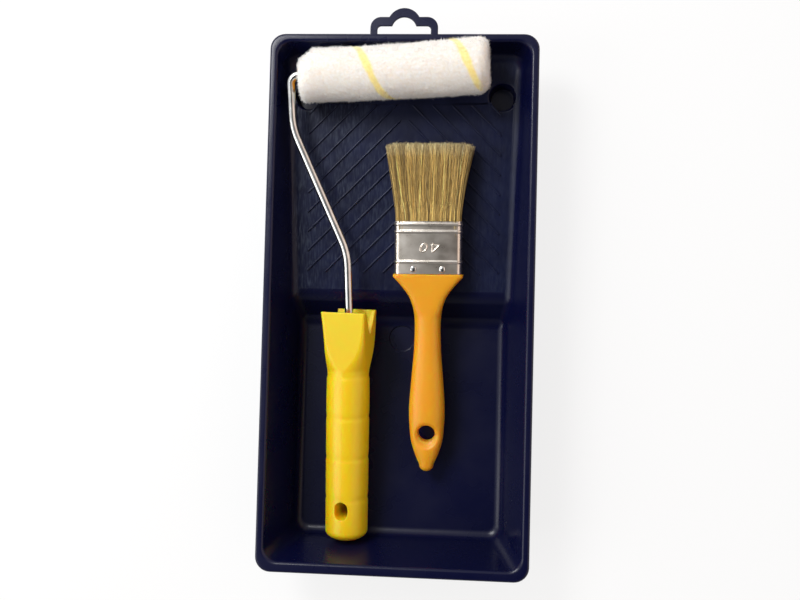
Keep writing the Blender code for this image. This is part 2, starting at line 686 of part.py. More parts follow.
def bent_path(corners, radii, step_angle=7.5):
    """Route through corner points with an arc of the given radius at each inner one."""
    corners = [Vector(corner) for corner in corners]
    path = [corners[0]]
    for before, corner, after, radius in zip(corners, corners[1:], corners[2:], radii):
        arriving = (corner - before).normalized()
        leaving = (after - corner).normalized()
        angle = arriving.angle(leaving)
        setback = radius * math.tan(angle / 2)
        centre = corner + (leaving - arriving).normalized() * radius / math.cos(angle / 2)
        start = corner - arriving * setback - centre
        axis = arriving.cross(leaving).normalized()
        steps = max(2, math.ceil(math.degrees(angle) / step_angle))
        for step in range(steps + 1):
            path.append(centre + Matrix.Rotation(angle * step / steps, 3, axis) @ start)
    path.append(corners[-1])
    return path


def axle_end():
    """Distance from the sleeve's near end to the end of the axle."""
    return CORE_LENGTH - BEARING_RECESS + SEAT_GAP + RETAINER_DISH + RETAINER_THICKNESS + AXLE_TAIL


def build_wire(frame):
    stops = [(0.0, -WIRE_INSERT), (0.0, 0.0), WIRE_FIRST_BEND, WIRE_SECOND_BEND, WIRE_TOP_BEND,
             axle_point(axle_end())]
    radii = (WIRE_SOFT_BEND, WIRE_SOFT_BEND, WIRE_SOFT_BEND, WIRE_TIGHT_BEND)
    path = bent_path([(u, v, 0.0) for u, v in stops], radii)
    curve = bpy.data.curves.new("wire_frame", "CURVE")
    curve.dimensions = "3D"
    curve.bevel_depth = WIRE_RADIUS
    curve.bevel_resolution = 4
    curve.use_fill_caps = True
    spline = curve.splines.new("POLY")
    spline.points.add(len(path) - 1)
    for point, place in zip(spline.points, path):
        point.co = (*place, 1.0)
    spline.use_smooth = True
    mesh = mesh_of_curve("wire_frame", curve)
    mesh.shade_smooth()
    mesh.set_sharp_from_angle(angle=math.radians(50))
    return add_object("wire_frame", mesh, MATERIALS["wire_frame"], frame)


def add_turned(name, profile, parent, matrix=None, closed=True, steps=AXLE_STEPS):
    piece = add_object(name, profile_mesh(name, profile, closed), MATERIALS[name], parent, matrix)
    turn(piece, steps)
    return piece


def nap_profile():
    """Section of the pile sleeve: round-shouldered outside, straight bore over the core."""
    low, high = -NAP_OVERHANG, CORE_LENGTH + NAP_OVERHANG
    bore = CORE_RADIUS + SEAT_GAP
    corner = min(NAP_END_ROUND, 0.8 * (NAP_RADIUS - bore))
    outside = arc((NAP_RADIUS - corner, high - corner), corner, 90, 0, 5)
    outside += arc((NAP_RADIUS - corner, low + corner), corner, 0, -90, 5)
    return outside + [(bore, low), (bore, high)]


def bearing_profile():
    """Section of a push-in bearing: flange at the bottom, spigot and hub standing up from it."""
    spigot = CORE_BORE - SEAT_GAP
    low = -SEAT_GAP - BEARING_FLANGE
    floor = BEARING_FLANGE
    mouth = BORE_RADIUS + BEARING_FLANGE / 2
    return [(BORE_RADIUS, BEARING_SPIGOT), (BEARING_HUB_RADIUS, BEARING_SPIGOT),
            (BEARING_HUB_RADIUS, floor), (spigot - BEARING_SHELL, floor),
            (spigot - BEARING_SHELL, BEARING_SPIGOT), (spigot, BEARING_SPIGOT),
            (spigot, -SEAT_GAP), (BEARING_FLANGE_RADIUS, -SEAT_GAP),
            (BEARING_FLANGE_RADIUS, low), (mouth, low), (BORE_RADIUS, low + BEARING_FLANGE / 2)]


def plug_profile():
    """Section of the outer bearing, a flanged plug that fits wholly inside the core."""
    outside = CORE_BORE - SEAT_GAP
    height = BEARING_SPIGOT - BEARING_FLANGE
    return [(BORE_RADIUS, height), (outside, height), (outside, 0.0),
            (outside - BEARING_SHELL, 0.0), (outside - BEARING_SHELL, height - BEARING_FLANGE),
            (BEARING_HUB_RADIUS, height - BEARING_FLANGE), (BEARING_HUB_RADIUS, 0.0),
            (BORE_RADIUS, 0.0)]


def retainer_profile():
    """Section of the dished push-on washer that grips the axle's end."""
    rim, top = RETAINER_RADIUS, RETAINER_THICKNESS
    return [(BORE_RADIUS, RETAINER_DISH + top), (rim, top), (rim, 0.0), (BORE_RADIUS, RETAINER_DISH)]


def build_cover(frame):
    """Sleeve, core and bearings, turned round the axle, whose frame has Z along the axle."""
    u, v = axle_point(0.0)
    along = Matrix.Rotation(math.pi / 2, 4, "Y")
    place = Matrix.Translation((u, v, 0)) @ Matrix.Rotation(AXLE_ANGLE, 4, "Z") @ along
    axle = add_empty("roller_axle", frame, place)
    bore = CORE_BORE
    add_turned("core_tube", [(bore, CORE_LENGTH), (CORE_RADIUS, CORE_LENGTH), (CORE_RADIUS, 0.0),
                             (bore, 0.0)], axle)
    add_turned("nap_sleeve", nap_profile(), axle)
    add_turned("inner_bearing", bearing_profile(), axle)
    plug_height = BEARING_SPIGOT - BEARING_FLANGE
    plug_low = CORE_LENGTH - BEARING_RECESS - plug_height
    add_turned("outer_bearing", plug_profile(), axle, Matrix.Translation((0, 0, plug_low)))
    washer_low = CORE_LENGTH - BEARING_RECESS + SEAT_GAP
    add_turned("end_retainer", retainer_profile(), axle, Matrix.Translation((0, 0, washer_low)))


# ---- brush ---------------------------------------------------------------------------------
def bead_swell(y):
    """Height of the ferrule's pressed beads at a distance from its handle end."""
    centres = [FERRULE_LENGTH - from_top for from_top in BEADS_FROM_TOP] + [BEAD_FROM_HANDLE]
    swell = 0.0
    for centre in centres:
        offset = (y - centre) / (BEAD_WIDTH / 2)
        if abs(offset) < 1:
            swell = max(swell, BEAD_HEIGHT * (1 + math.cos(math.pi * offset)) / 2)
    return swell


def ferrule_skin():
    """Outer skin of the pressed band, open at both ends, with its beads."""
    places = [0.0, FERRULE_LENGTH]
    for centre in [FERRULE_LENGTH - from_top for from_top in BEADS_FROM_TOP] + [BEAD_FROM_HANDLE]:
        places += [centre + BEAD_WIDTH * part / 6 for part in range(-3, 4)]
    bm = bmesh.new()
    rings = []
    for y in sorted(place for place in places if 0 <= place <= FERRULE_LENGTH):
        swell = bead_swell(y)
        ring = rounded_box_ring(FERRULE_WIDTH / 2 + swell, FERRULE_THICKNESS / 2 + swell,
                                FERRULE_CORNER + swell, 4)
        rings.append([bm.verts.new((x, y, z)) for x, z in ring])
    for low, high in zip(rings, rings[1:]):
        count = len(low)
        for index in range(count):
            following = (index + 1) % count
            bm.faces.new((low[index], high[index], high[following], low[following]))
    bmesh.ops.recalc_face_normals(bm, faces=bm.faces)
    return mesh_from_bmesh("ferrule", bm, 40)


def handle_sections():
    """Sections of the brush handle: tenon, shoulder flange, neck, belly and rounded tip."""
    gap = SEAT_GAP
    tenon = (FERRULE_BORE_WIDTH / 2 - gap, FERRULE_BORE_THICKNESS / 2 - gap,
             FERRULE_BORE_CORNER - gap)
    flange = (FLANGE_WIDTH / 2, FLANGE_THICKNESS / 2)
    neck_share = (FLANGE_WIDTH - NECK_WIDTH) / 2
    tip_start = BRUSH_HANDLE_LENGTH - BRUSH_TIP_WIDTH / 2
    widths = [(gap + FLANGE_LIP, flange[0]),
              (0.30 * NECK_START, NECK_WIDTH / 2 + 0.60 * neck_share),
              (0.58 * NECK_START, NECK_WIDTH / 2 + 0.22 * neck_share),
              (NECK_START, NECK_WIDTH / 2), (NECK_END, NECK_WIDTH / 2),
              (BELLY_CENTRE, BELLY_WIDTH / 2),
              ((BELLY_CENTRE + tip_start) / 2, 0.46 * BELLY_WIDTH),
              (tip_start, BRUSH_TIP_WIDTH / 2)]
    depths = [(gap + FLANGE_LIP, flange[1]), (NECK_START, NECK_THICKNESS / 2),
              (NECK_END, NECK_THICKNESS / 2), (BELLY_CENTRE, BELLY_THICKNESS / 2),
              (tip_start, BRUSH_TIP_THICKNESS / 2)]
    sections = [(TENON_LENGTH, rounded_box_ring(*tenon)), (-gap, rounded_box_ring(*tenon))]
    round_share = 0.45
    for lip in (gap, gap + FLANGE_LIP):
        sections.append((-lip, rounded_box_ring(*flange, round_share * flange[1])))
    steps = 26
    first, last = gap + FLANGE_LIP, tip_start
    for step in range(1, steps + 1):
        place = first + (last - first) * step / steps
        half_width = smooth_through(widths, place)
        half_depth = smooth_through(depths, place)
        rounding = round_share + (0.96 - round_share) * min(1.0, place / NECK_START)
        sections.append((-place, rounded_box_ring(half_width, half_depth, rounding * half_depth)))
    for angle in (30, 55, 75):
        swing = math.radians(angle)
        place = tip_start + (BRUSH_HANDLE_LENGTH - tip_start) * math.sin(swing)
        half_width = BRUSH_TIP_WIDTH / 2 * math.cos(swing)
        half_depth = BRUSH_TIP_THICKNESS / 2 * math.cos(swing)
        sections.append((-place, rounded_box_ring(half_width, half_depth, 0.96 * half_depth)))
    return sections


def hang_hole_profile():
    """Section of the hang hole's cutter: straight in the middle, dished at both faces."""
    inside = BELLY_THICKNESS / 2 - 0.4 * (HANG_HOLE_DISH - HANG_HOLE_RADIUS)
    waist = inside - (HANG_HOLE_DISH - HANG_HOLE_RADIUS)
    outside = BELLY_THICKNESS
    wide = HANG_HOLE_DISH + (outside - inside)
    return [(0.0, outside), (wide, outside), (HANG_HOLE_DISH, inside), (HANG_HOLE_RADIUS, waist),
            (HANG_HOLE_RADIUS, -waist), (HANG_HOLE_DISH, -inside), (wide, -outside),
            (0.0, -outside)]


def nail_place(side, face):
    """Frame of a nail: its Z points out of the ferrule's front or back face."""
    place = Matrix.Translation((side * NAIL_SPACING / 2, NAIL_SETBACK,
                                face * FERRULE_THICKNESS / 2))
    return place if face > 0 else place @ Matrix.Rotation(math.pi, 4, "X")


def build_handle(seat):
    handle = add_object("brush_handle", loft("brush_handle", handle_sections(), 35),
                        MATERIALS["brush_handle"], seat)
    hole = add_cutter("brush_hang_hole", profile_mesh("brush_hang_hole", hang_hole_profile(), False),
                      seat, Matrix.Translation((0, HANG_HOLE_SETBACK - BRUSH_HANDLE_LENGTH, 0)))
    turn(hole, 28)
    combine(handle, hole, "DIFFERENCE")
    return handle


def build_nails(seat, held):
    """Four nails through the ferrule into the tenon, and their holes in both."""
    drill_mesh = cylinder_mesh("nail_hole", NAIL_SHANK_RADIUS + SEAT_GAP,
                               NAIL_SHANK_RADIUS + SEAT_GAP, 2 * FERRULE_THICKNESS, 12)
    dome_radius = (NAIL_HEAD_RADIUS**2 + NAIL_HEAD_HEIGHT**2) / (2 * NAIL_HEAD_HEIGHT)
    dome_angle = math.degrees(math.asin(NAIL_HEAD_RADIUS / dome_radius))
    crown = SEAT_GAP + NAIL_HEAD_HEIGHT
    profile = arc((0, crown - dome_radius), dome_radius, 90, 90 - dome_angle, 3)
    profile[0] = (0.0, crown)
    shank_end = SEAT_GAP - NAIL_LENGTH
    profile += [(NAIL_SHANK_RADIUS, SEAT_GAP), (NAIL_SHANK_RADIUS, shank_end),
                (0.0, shank_end - NAIL_SHANK_RADIUS)]
    for side, flank in ((-1, "left"), (1, "right")):
        drill = add_cutter(f"nail_hole_{flank}", drill_mesh, seat,
                           Matrix.Translation((side * NAIL_SPACING / 2, NAIL_SETBACK, 0)))
        for piece in held:
            combine(piece, drill, "DIFFERENCE")
        for face, facing in ((1, "front"), (-1, "back")):
            add_turned(f"nail_{facing}_{flank}", profile, seat, nail_place(side, face),
                       closed=False, steps=16)


def bank_ring(half_width, low, high):
    """Outline of a bank: corners that fit the ferrule outside, small ones at the split."""
    outer = min(FERRULE_BORE_CORNER - SEAT_GAP, 0.8 * (high - low))
    inner = min(outer, 0.15 * (high - low))
    ring = arc((half_width - outer, high - outer), outer, 0, 90, 4)
    ring += arc((outer - half_width, high - outer), outer, 90, 180, 4)
    ring += arc((inner - half_width, low + inner), inner, 180, 270, 2)
    return ring + arc((half_width - inner, low + inner), inner, 270, 360, 2)


def bank_sections():
    """Sections of the upper bristle bank, from the resin to the trimmed tips."""
    gap = SEAT_GAP
    base = TENON_LENGTH + 2 * gap + RESIN_DEPTH
    tip = FERRULE_LENGTH + BRISTLE_LENGTH
    bore_half = FERRULE_BORE_WIDTH / 2 - gap
    outer = FERRULE_BORE_THICKNESS / 2 - gap
    plug_end = FERRULE_LENGTH - PLUG_TOP_MARGIN
    split = gap / 2
    tip_half, tip_outer = BRISTLE_TIP_WIDTH / 2, BRISTLE_TIP_THICKNESS / 2
    flare = tip_half - bore_half
    out_at = FERRULE_LENGTH + gap
    swollen = FERRULE_THICKNESS / 2 + BRISTLE_BULGE
    sections = [(base, bore_half, PLUG_THICKNESS / 2 + gap, outer),
                (plug_end + gap, bore_half, PLUG_TIP_THICKNESS / 2 + gap, outer),
                (out_at, bore_half, split, outer)]
    for share, flared, swell in ((0.12, 0.06, 0.8), (0.4, 0.35, 1.0), (0.75, 0.78, 0.6)):
        reach = outer + (swollen - outer) * swell
        sections.append((out_at + BRISTLE_LENGTH * share, bore_half + flare * flared, split, reach))
    sections.append((tip, tip_half, split, tip_outer))
    return [(y, bank_ring(*sizes)) for y, *sizes in sections]


def build_bristles(seat):
    upper = bank_sections()
    lower = [(y, [(x, -z) for x, z in ring]) for y, ring in upper]
    for name, sections in (("bristles_front", upper), ("bristles_back", lower)):
        add_object(name, loft(name, sections, 50), MATERIALS[name], seat)


def build_ferrule_filling(seat):
    """Resin that sets the bristle roots, and the wedge that parts the two banks."""
    gap = SEAT_GAP
    half_width = FERRULE_BORE_WIDTH / 2 - gap
    half_depth = FERRULE_BORE_THICKNESS / 2 - gap
    ring = rounded_box_ring(half_width, half_depth, FERRULE_BORE_CORNER - gap)
    low = TENON_LENGTH + gap
    add_object("resin_set", loft("resin_set", [(low, ring), (low + RESIN_DEPTH, ring)]),
               MATERIALS["resin_set"], seat)
    base = low + RESIN_DEPTH + gap
    end = FERRULE_LENGTH - PLUG_TOP_MARGIN
    plug_half = half_width - PLUG_SIDE_MARGIN
    thick = rounded_box_ring(plug_half, PLUG_THICKNESS / 2, PLUG_THICKNESS / 6, 2)
    thin = rounded_box_ring(plug_half, PLUG_TIP_THICKNESS / 2, PLUG_TIP_THICKNESS / 6, 2)
    add_object("spacer_plug", loft("spacer_plug", [(base, thick), (end, thin)]),
               MATERIALS["spacer_plug"], seat)


def build_brush(parent):
    """Brush on the ribs of the ramp, its origin at the ferrule's handle end."""
    above = RIB_HEIGHT + SEAT_GAP + max(NAIL_REACH, FLANGE_THICKNESS / 2)
    place = ramp_matrix(BRUSH_OFFSET, BRUSH_UP_RAMP, above) @ Matrix.Rotation(BRUSH_TURN, 4, "Z")
    seat = add_empty("brush_seat", parent, place)
    handle = build_handle(seat)
    ferrule = add_object("ferrule", ferrule_skin(), MATERIALS["ferrule"], seat)
    solidify(ferrule, FERRULE_SHEET)
    build_nails(seat, (handle, ferrule))
    build_bristles(seat)
    build_ferrule_filling(seat)


def build_roller(parent):
    frame = add_empty("roller_seat", parent, roller_matrix())
    build_grip(frame)
    build_wire(frame)
    build_cover(frame)


# ---- materials and assembly ----------------------------------------------------------------
STEEL = (0.62, 0.61, 0.58)
BRISTLE = (0.52, 0.38, 0.17)
FINISHES = {
    "tray": ((0.009, 0.010, 0.028), 0.30, 0.0),
    "roller_handle": ((0.86, 0.58, 0.02), 0.38, 0.0),
    "wire_frame": (STEEL, 0.25, 1.0),
    "end_retainer": (STEEL, 0.30, 1.0),
    "core_tube": ((0.75, 0.74, 0.70), 0.50, 0.0),
    "nap_sleeve": ((0.85, 0.82, 0.74), 0.95, 0.0),
    "inner_bearing": ((0.85, 0.42, 0.03), 0.40, 0.0),
    "outer_bearing": ((0.85, 0.42, 0.03), 0.40, 0.0),
    "brush_handle": ((0.80, 0.36, 0.01), 0.35, 0.0),
    "ferrule": (STEEL, 0.22, 1.0),
    "nail_front_left": (STEEL, 0.25, 1.0),
    "nail_front_right": (STEEL, 0.25, 1.0),
    "nail_back_left": (STEEL, 0.25, 1.0),
    "nail_back_right": (STEEL, 0.25, 1.0),
    "bristles_front": (BRISTLE, 0.70, 0.0),
    "bristles_back": (BRISTLE, 0.70, 0.0),
    "resin_set": ((0.30, 0.22, 0.10), 0.30, 0.0),
    "spacer_plug": ((0.55, 0.40, 0.22), 0.70, 0.0),
}

clear_scene()
PARTS = new_collection("paint_tray_set")
CUTTERS = new_collection("cutters")
MATERIALS = {name: make_material(name, *finish) for name, finish in FINISHES.items()}
whole = add_empty("whole_set", matrix=Matrix.Translation((0, -TAB_REACH / 2, 0)))
build_tray(whole)
build_roller(whole)
build_brush(whole)
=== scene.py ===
"""Looks of the paint tray set: dark moulded tray, mini roller and 40 mm flat brush."""
import math

import bmesh
import bpy
import numpy as np
from mathutils import Matrix, Vector


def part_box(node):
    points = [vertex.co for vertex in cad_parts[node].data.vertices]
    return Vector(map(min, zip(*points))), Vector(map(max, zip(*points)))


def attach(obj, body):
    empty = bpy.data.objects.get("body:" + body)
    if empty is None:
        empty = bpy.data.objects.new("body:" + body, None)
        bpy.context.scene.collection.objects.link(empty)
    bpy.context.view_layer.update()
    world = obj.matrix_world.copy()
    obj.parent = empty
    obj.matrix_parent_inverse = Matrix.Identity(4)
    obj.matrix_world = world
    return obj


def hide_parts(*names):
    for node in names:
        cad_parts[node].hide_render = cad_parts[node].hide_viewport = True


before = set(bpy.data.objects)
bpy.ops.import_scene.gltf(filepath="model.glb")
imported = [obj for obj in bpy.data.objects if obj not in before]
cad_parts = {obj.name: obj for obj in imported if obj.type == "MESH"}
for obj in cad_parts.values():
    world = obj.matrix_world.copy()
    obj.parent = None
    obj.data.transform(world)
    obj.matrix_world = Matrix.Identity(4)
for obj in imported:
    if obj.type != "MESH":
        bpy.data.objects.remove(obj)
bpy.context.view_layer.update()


# --- Camera -------------------------------------------------------------------------------
# It hangs 61 cm over the table, 5 cm right of the set's middle line, and looks nearly straight
# down, turned a little back to the middle, as someone does who bends over a table.
CAMERA_PLACE = Vector((0.04734, -0.02742, 0.61418))
CAMERA_LOOK = Vector((-0.08008, 0.03784, -0.99607)).normalized()
CAMERA_UP = Vector((-0.02235, 0.99896, 0.03975))
LENS_MM = 45
SENSOR_MM = 36

bpy.ops.object.camera_add(location=CAMERA_PLACE)
camera = bpy.context.object
camera.name = "camera"
camera.data.lens = LENS_MM
camera.data.sensor_width = SENSOR_MM
camera.data.clip_start = 0.01
camera_right = CAMERA_LOOK.cross(CAMERA_UP).normalized()
camera_axes = Matrix((camera_right, camera_right.cross(CAMERA_LOOK), -CAMERA_LOOK)).transposed()
camera.matrix_world = Matrix.Translation(CAMERA_PLACE) @ camera_axes.to_4x4()
bpy.context.scene.camera = camera


# --- Room ---------------------------------------------------------------------------------
# A pale table top in soft daylight: a window-shaped lamp high on the left towards the hang tab,
# a wide one further round on that side, and a plain room that is brightest on its right, bright
# on its left too, and dark overhead, where whoever looks down stands.
TABLE_DROP = 0.0004
TABLE_WIDTH = 6
TABLE_WHITENESS = 0.80
LAMP_AIM = Vector((0.0, 0.03, 0.02))
# Each lamp's name, place, width and height, and watts.
LAMPS = (("window", Vector((-0.42, 0.44, 0.78)), (0.28, 0.38), 6.4),
         ("fill", Vector((-1.30, -0.45, 0.95)), (0.90, 0.90), 6.9))
# Brightness by direction, built up row by row: how a row joins those above it, the axis that it
# changes along, where on that axis the change starts and ends, and the levels there.
OVERHEAD = (("START", "X", 0.05, -0.30, 0.07, 0.50),
            ("MULTIPLY", "Y", -0.26, -0.08, 0.15, 1.0),
            ("ADD", "Y", 0.06, 0.36, 0.0, 0.50))
WALLS = (("START", "Z", 0.92, 0.50, 0.0, 0.55),
         ("MAXIMUM", "X", -0.10, -0.45, 0.0, 0.85),
         ("MAXIMUM", "X", 0.20, 0.70, 0.0, 1.25),
         ("MULTIPLY", "Y", -0.75, -0.05, 0.50, 1.0))
WARMTH = (("START", "X", 0.0, 0.5, 0.0, 1.0),)


def hex_colour(code):
    """sRGB hex to the linear colour that Blender's sockets take."""
    parts = [int(code[start:start + 2], 16) / 255 for start in (1, 3, 5)]
    linear = [part / 12.92 if part <= 0.04045 else ((part + 0.055) / 1.055) ** 2.4
              for part in parts]
    return (*linear, 1.0)


def fill_sockets(tree, node, inputs):
    """Fills a node's inputs: each with a value, a hex colour, or another node's output."""
    for socket, source in inputs.items():
        if isinstance(source, bpy.types.NodeSocket):
            tree.links.new(source, node.inputs[socket])
        elif isinstance(source, str):
            node.inputs[socket].default_value = hex_colour(source)
        else:
            node.inputs[socket].default_value = source


def add_node(tree, kind, settings=None, inputs=None):
    """Adds a node with its properties and its inputs."""
    node = tree.nodes.new(kind)
    for name, value in (settings or {}).items():
        setattr(node, name, value)
    fill_sockets(tree, node, inputs or {})
    return node


def new_material(name, inputs):
    """A material with its Principled shader set."""
    material = bpy.data.materials.new(name)
    material.use_nodes = True
    shader = material.node_tree.nodes["Principled BSDF"]
    fill_sockets(material.node_tree, shader, inputs)
    return material, material.node_tree, shader


def blend_shaders(tree, output, share, first, second):
    """Gives a material or a world a blend of two shaders for its surface."""
    blend = add_node(tree, "ShaderNodeMixShader",
                     inputs={0: share, 1: first.outputs[0], 2: second.outputs[0]})
    fill_sockets(tree, tree.nodes[output], {"Surface": blend.outputs[0]})


# Matt laminate. Seen straight or mirrored it is mostly plain white, so that it looks evenly
# lit, and the light that it throws up at the set still comes from the lamps and the room.
bpy.ops.mesh.primitive_plane_add(size=TABLE_WIDTH, location=(0, 0, -TABLE_DROP))
table_top = bpy.context.object
table_top.name = "table_top"
laminate, tree, shader = new_material("pale_laminate", {"Base Color": "#f1f1f0", "Roughness": 0.6})
white = add_node(tree, "ShaderNodeEmission", inputs={"Color": "#ffffff", "Strength": 1.0})
rays = add_node(tree, "ShaderNodeLightPath").outputs
seen = add_node(tree, "ShaderNodeMath", {"operation": "MAXIMUM"},
                {0: rays["Is Camera Ray"], 1: rays["Is Glossy Ray"]})
share = add_node(tree, "ShaderNodeMath", {"operation": "MULTIPLY"},
                 {0: seen.outputs[0], 1: TABLE_WHITENESS})
blend_shaders(tree, "Material Output", share.outputs[0], shader, white)
table_top.data.materials.append(laminate)

world = bpy.data.worlds.new("plain_room")
bpy.context.scene.world = world
world.use_nodes = True
tree = world.node_tree
coordinates = add_node(tree, "ShaderNodeTexCoord")
towards = add_node(tree, "ShaderNodeSeparateXYZ", inputs={0: coordinates.outputs["Generated"]})


def room_level(rows):
    """The room's brightness by direction, from rows of soft changes along the axes."""
    level = None
    for joined, axis, start, end, low, high in rows:
        change = add_node(tree, "ShaderNodeMapRange", {"interpolation_type": "SMOOTHSTEP"},
                          {"Value": towards.outputs[axis], "From Min": start, "From Max": end,
                           "To Min": low, "To Max": high}).outputs["Result"]
        if joined == "START":
            level = change
        else:
            level = add_node(tree, "ShaderNodeMath", {"operation": joined},
                             {0: level, 1: change}).outputs[0]
    return level


level = add_node(tree, "ShaderNodeMath", {"operation": "MAXIMUM"},
                 {0: room_level(OVERHEAD), 1: room_level(WALLS)})
warmth = add_node(tree, "ShaderNodeMix", {"data_type": "RGBA"},
                  {0: room_level(WARMTH), 6: "#f4f6fa", 7: "#f3dfd5"})
room = tree.nodes["Background"]
fill_sockets(tree, room, {"Strength": level.outputs[0], "Color": warmth.outputs[2]})
backdrop = add_node(tree, "ShaderNodeBackground", inputs={"Color": "#ffffff", "Strength": 1.0})
rays = add_node(tree, "ShaderNodeLightPath").outputs
blend_shaders(tree, "World Output", rays["Is Camera Ray"], room, backdrop)

for name, place, size, watts in LAMPS:
    bpy.ops.object.light_add(type="AREA", location=place)
    lamp = bpy.context.object
    lamp.name = name
    lamp.data.shape = "RECTANGLE"
    lamp.data.size, lamp.data.size_y = size
    lamp.data.energy = watts
    lamp.rotation_euler = (LAMP_AIM - place).to_track_quat("-Z", "Y").to_euler()

bpy.context.scene.view_settings.view_transform = "Standard"


# --- Tray ---------------------------------------------------------------------------------
# The tray is injection-moulded in one shot from dark navy polypropylene: drafted walls, a flat
# rim with a turned-down skirt, a deep well, and a shallow ramp that the roller is wrung on.
RIM_SIDE = 0.0045
RIM_WELL = 0.0060
RIM_CORNER = 0.0080
RIM_ROUND = 0.0017
SKIRT = 0.0050
WALL = 0.0014
DRAFT = math.radians(14)
WELL_DRAFT = math.radians(12.8)
TAB_REACH = 0.0149
RAMP_TOP_DEPTH = 0.016
RAMP_END_DEPTH = 0.031
WELL_LENGTH = 0.1300
STEP_RUN = 0.0135
FLOOR_ROUND = 0.0045
# Points nearer than TOUCHING lie on a face; edges sharper than CREASE, in radians, are creases.
TOUCHING = 0.00002
CREASE = 0.5

tray_low, tray_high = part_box("tray")
rim_z = tray_high.z
rim_top_y = tray_high.y - TAB_REACH
rim_low_y = tray_low.y
mouth_top_y = rim_top_y - RIM_SIDE
mouth_low_y = rim_low_y + RIM_WELL
mouth_half = tray_high.x - RIM_SIDE
floor_z = WALL
ramp_top_y = mouth_top_y - RAMP_TOP_DEPTH * math.tan(DRAFT)
floor_low_y = mouth_low_y + (rim_z - floor_z) * math.tan(WELL_DRAFT)
floor_top_y = floor_low_y + WELL_LENGTH
ramp_end_y = floor_top_y + STEP_RUN
ramp_end_z = rim_z - RAMP_END_DEPTH
ramp_slope = math.atan2(RAMP_END_DEPTH - RAMP_TOP_DEPTH, ramp_top_y - ramp_end_y)


def pick(piece):
    """Selects one object alone and makes it the active one."""
    bpy.ops.object.select_all(action="DESELECT")
    piece.select_set(True)
    bpy.context.view_layer.objects.active = piece


def start_piece(name):
    """Names the object just added and fixes its place in its mesh."""
    piece = bpy.context.object
    piece.name = name
    pick(piece)
    bpy.ops.object.transform_apply(location=True, rotation=True, scale=True)
    return piece


def edit(piece, action, kind="faces", wanted=lambda item: True):
    """Runs an edit-mode action on those faces, edges or verts that are wanted."""
    pick(piece)
    mesh = bmesh.new()
    mesh.from_mesh(piece.data)
    for item in (*mesh.faces, *mesh.edges, *mesh.verts):
        item.select_set(False)
    for item in [item for item in getattr(mesh, kind) if wanted(item)]:
        item.select_set(True)
    mesh.select_mode = {kind[:-1].upper()}
    mesh.to_mesh(piece.data)
    mesh.free()
    bpy.context.tool_settings.mesh_select_mode = [kind == mode
                                                  for mode in ("verts", "edges", "faces")]
    bpy.ops.object.mode_set(mode="EDIT")
    action()
    bpy.ops.object.mode_set(mode="OBJECT")


def resize(scale, centre):
    bpy.ops.transform.resize(value=scale, orient_type="GLOBAL", center_override=centre)


def move(shift):
    bpy.ops.transform.translate(value=shift, orient_type="GLOBAL")


def bevel_edges(offset, segments):
    bpy.ops.mesh.bevel(offset=offset, segments=segments, affect="EDGES", clamp_overlap=False)


def use_modifier(piece, kind, **settings):
    """Adds a modifier, sets it and applies it at once."""
    pick(piece)
    modifier = piece.modifiers.new(kind.lower(), kind)
    for name, value in settings.items():
        setattr(modifier, name, value)
    bpy.ops.object.modifier_apply(modifier=modifier.name)


def soften(piece, width, degrees, clamped=False):
    """Rounds all edges that are sharper than an angle."""
    use_modifier(piece, "BEVEL", width=width, segments=3, limit_method="ANGLE",
                 angle_limit=math.radians(degrees), use_clamp_overlap=clamped)


def combine(piece, other, operation):
    """Joins or cuts a piece with another one, which is used up."""
    use_modifier(piece, "BOOLEAN", operation=operation, solver="EXACT", object=other)
    bpy.data.objects.remove(other, do_unlink=True)


def smooth(piece, degrees, weighted=True):
    """Smooth shading with creases kept, and flat faces kept flat beside their rounded edges."""
    pick(piece)
    bpy.ops.object.shade_smooth_by_angle(angle=math.radians(degrees))
    if weighted:
        use_modifier(piece, "WEIGHTED_NORMAL", keep_sharp=True, weight=60)


def add_object(name, data):
    """Puts a mesh or a curve into the scene."""
    piece = bpy.data.objects.new(name, data)
    bpy.context.scene.collection.objects.link(piece)
    return piece


def loft(name, rings, capped=True):
    """A body through rings of points, which is closed at both ends unless told otherwise."""
    count = len(rings[0])
    points = [point for ring in rings for point in ring]
    faces = [(row * count + i, row * count + (i + 1) % count,
              (row + 1) * count + (i + 1) % count, (row + 1) * count + i)
             for row in range(len(rings) - 1) for i in range(count)]
    if capped:
        faces += [tuple(range(count)), tuple(range(len(points) - count, len(points)))]
    mesh = bpy.data.meshes.new(name)
    mesh.from_pydata(points, [], faces)
    piece = add_object(name, mesh)
    edit(piece, lambda: (bpy.ops.mesh.remove_doubles(threshold=0.000002),
                         bpy.ops.mesh.normals_make_consistent(inside=False)))
    return piece


def floor_height(y):
    """Height of the tray's upper face along the well, the step and the ramp."""
    return float(np.interp(y, (floor_top_y, ramp_end_y, ramp_top_y),
                           (floor_z, ramp_end_z, rim_z - RAMP_TOP_DEPTH)))


def on_floor(edge):
    """Whether an edge lies on the well floor, the step or the ramp."""
    return all(vertex.co.y < ramp_top_y + TOUCHING
               and abs(vertex.co.z - floor_height(vertex.co.y)) < TOUCHING for vertex in edge.verts)


def creased(edge):
    """Whether two faces meet at an edge at a clear angle."""
    return len(edge.link_faces) == 2 and edge.calc_face_angle() > CREASE


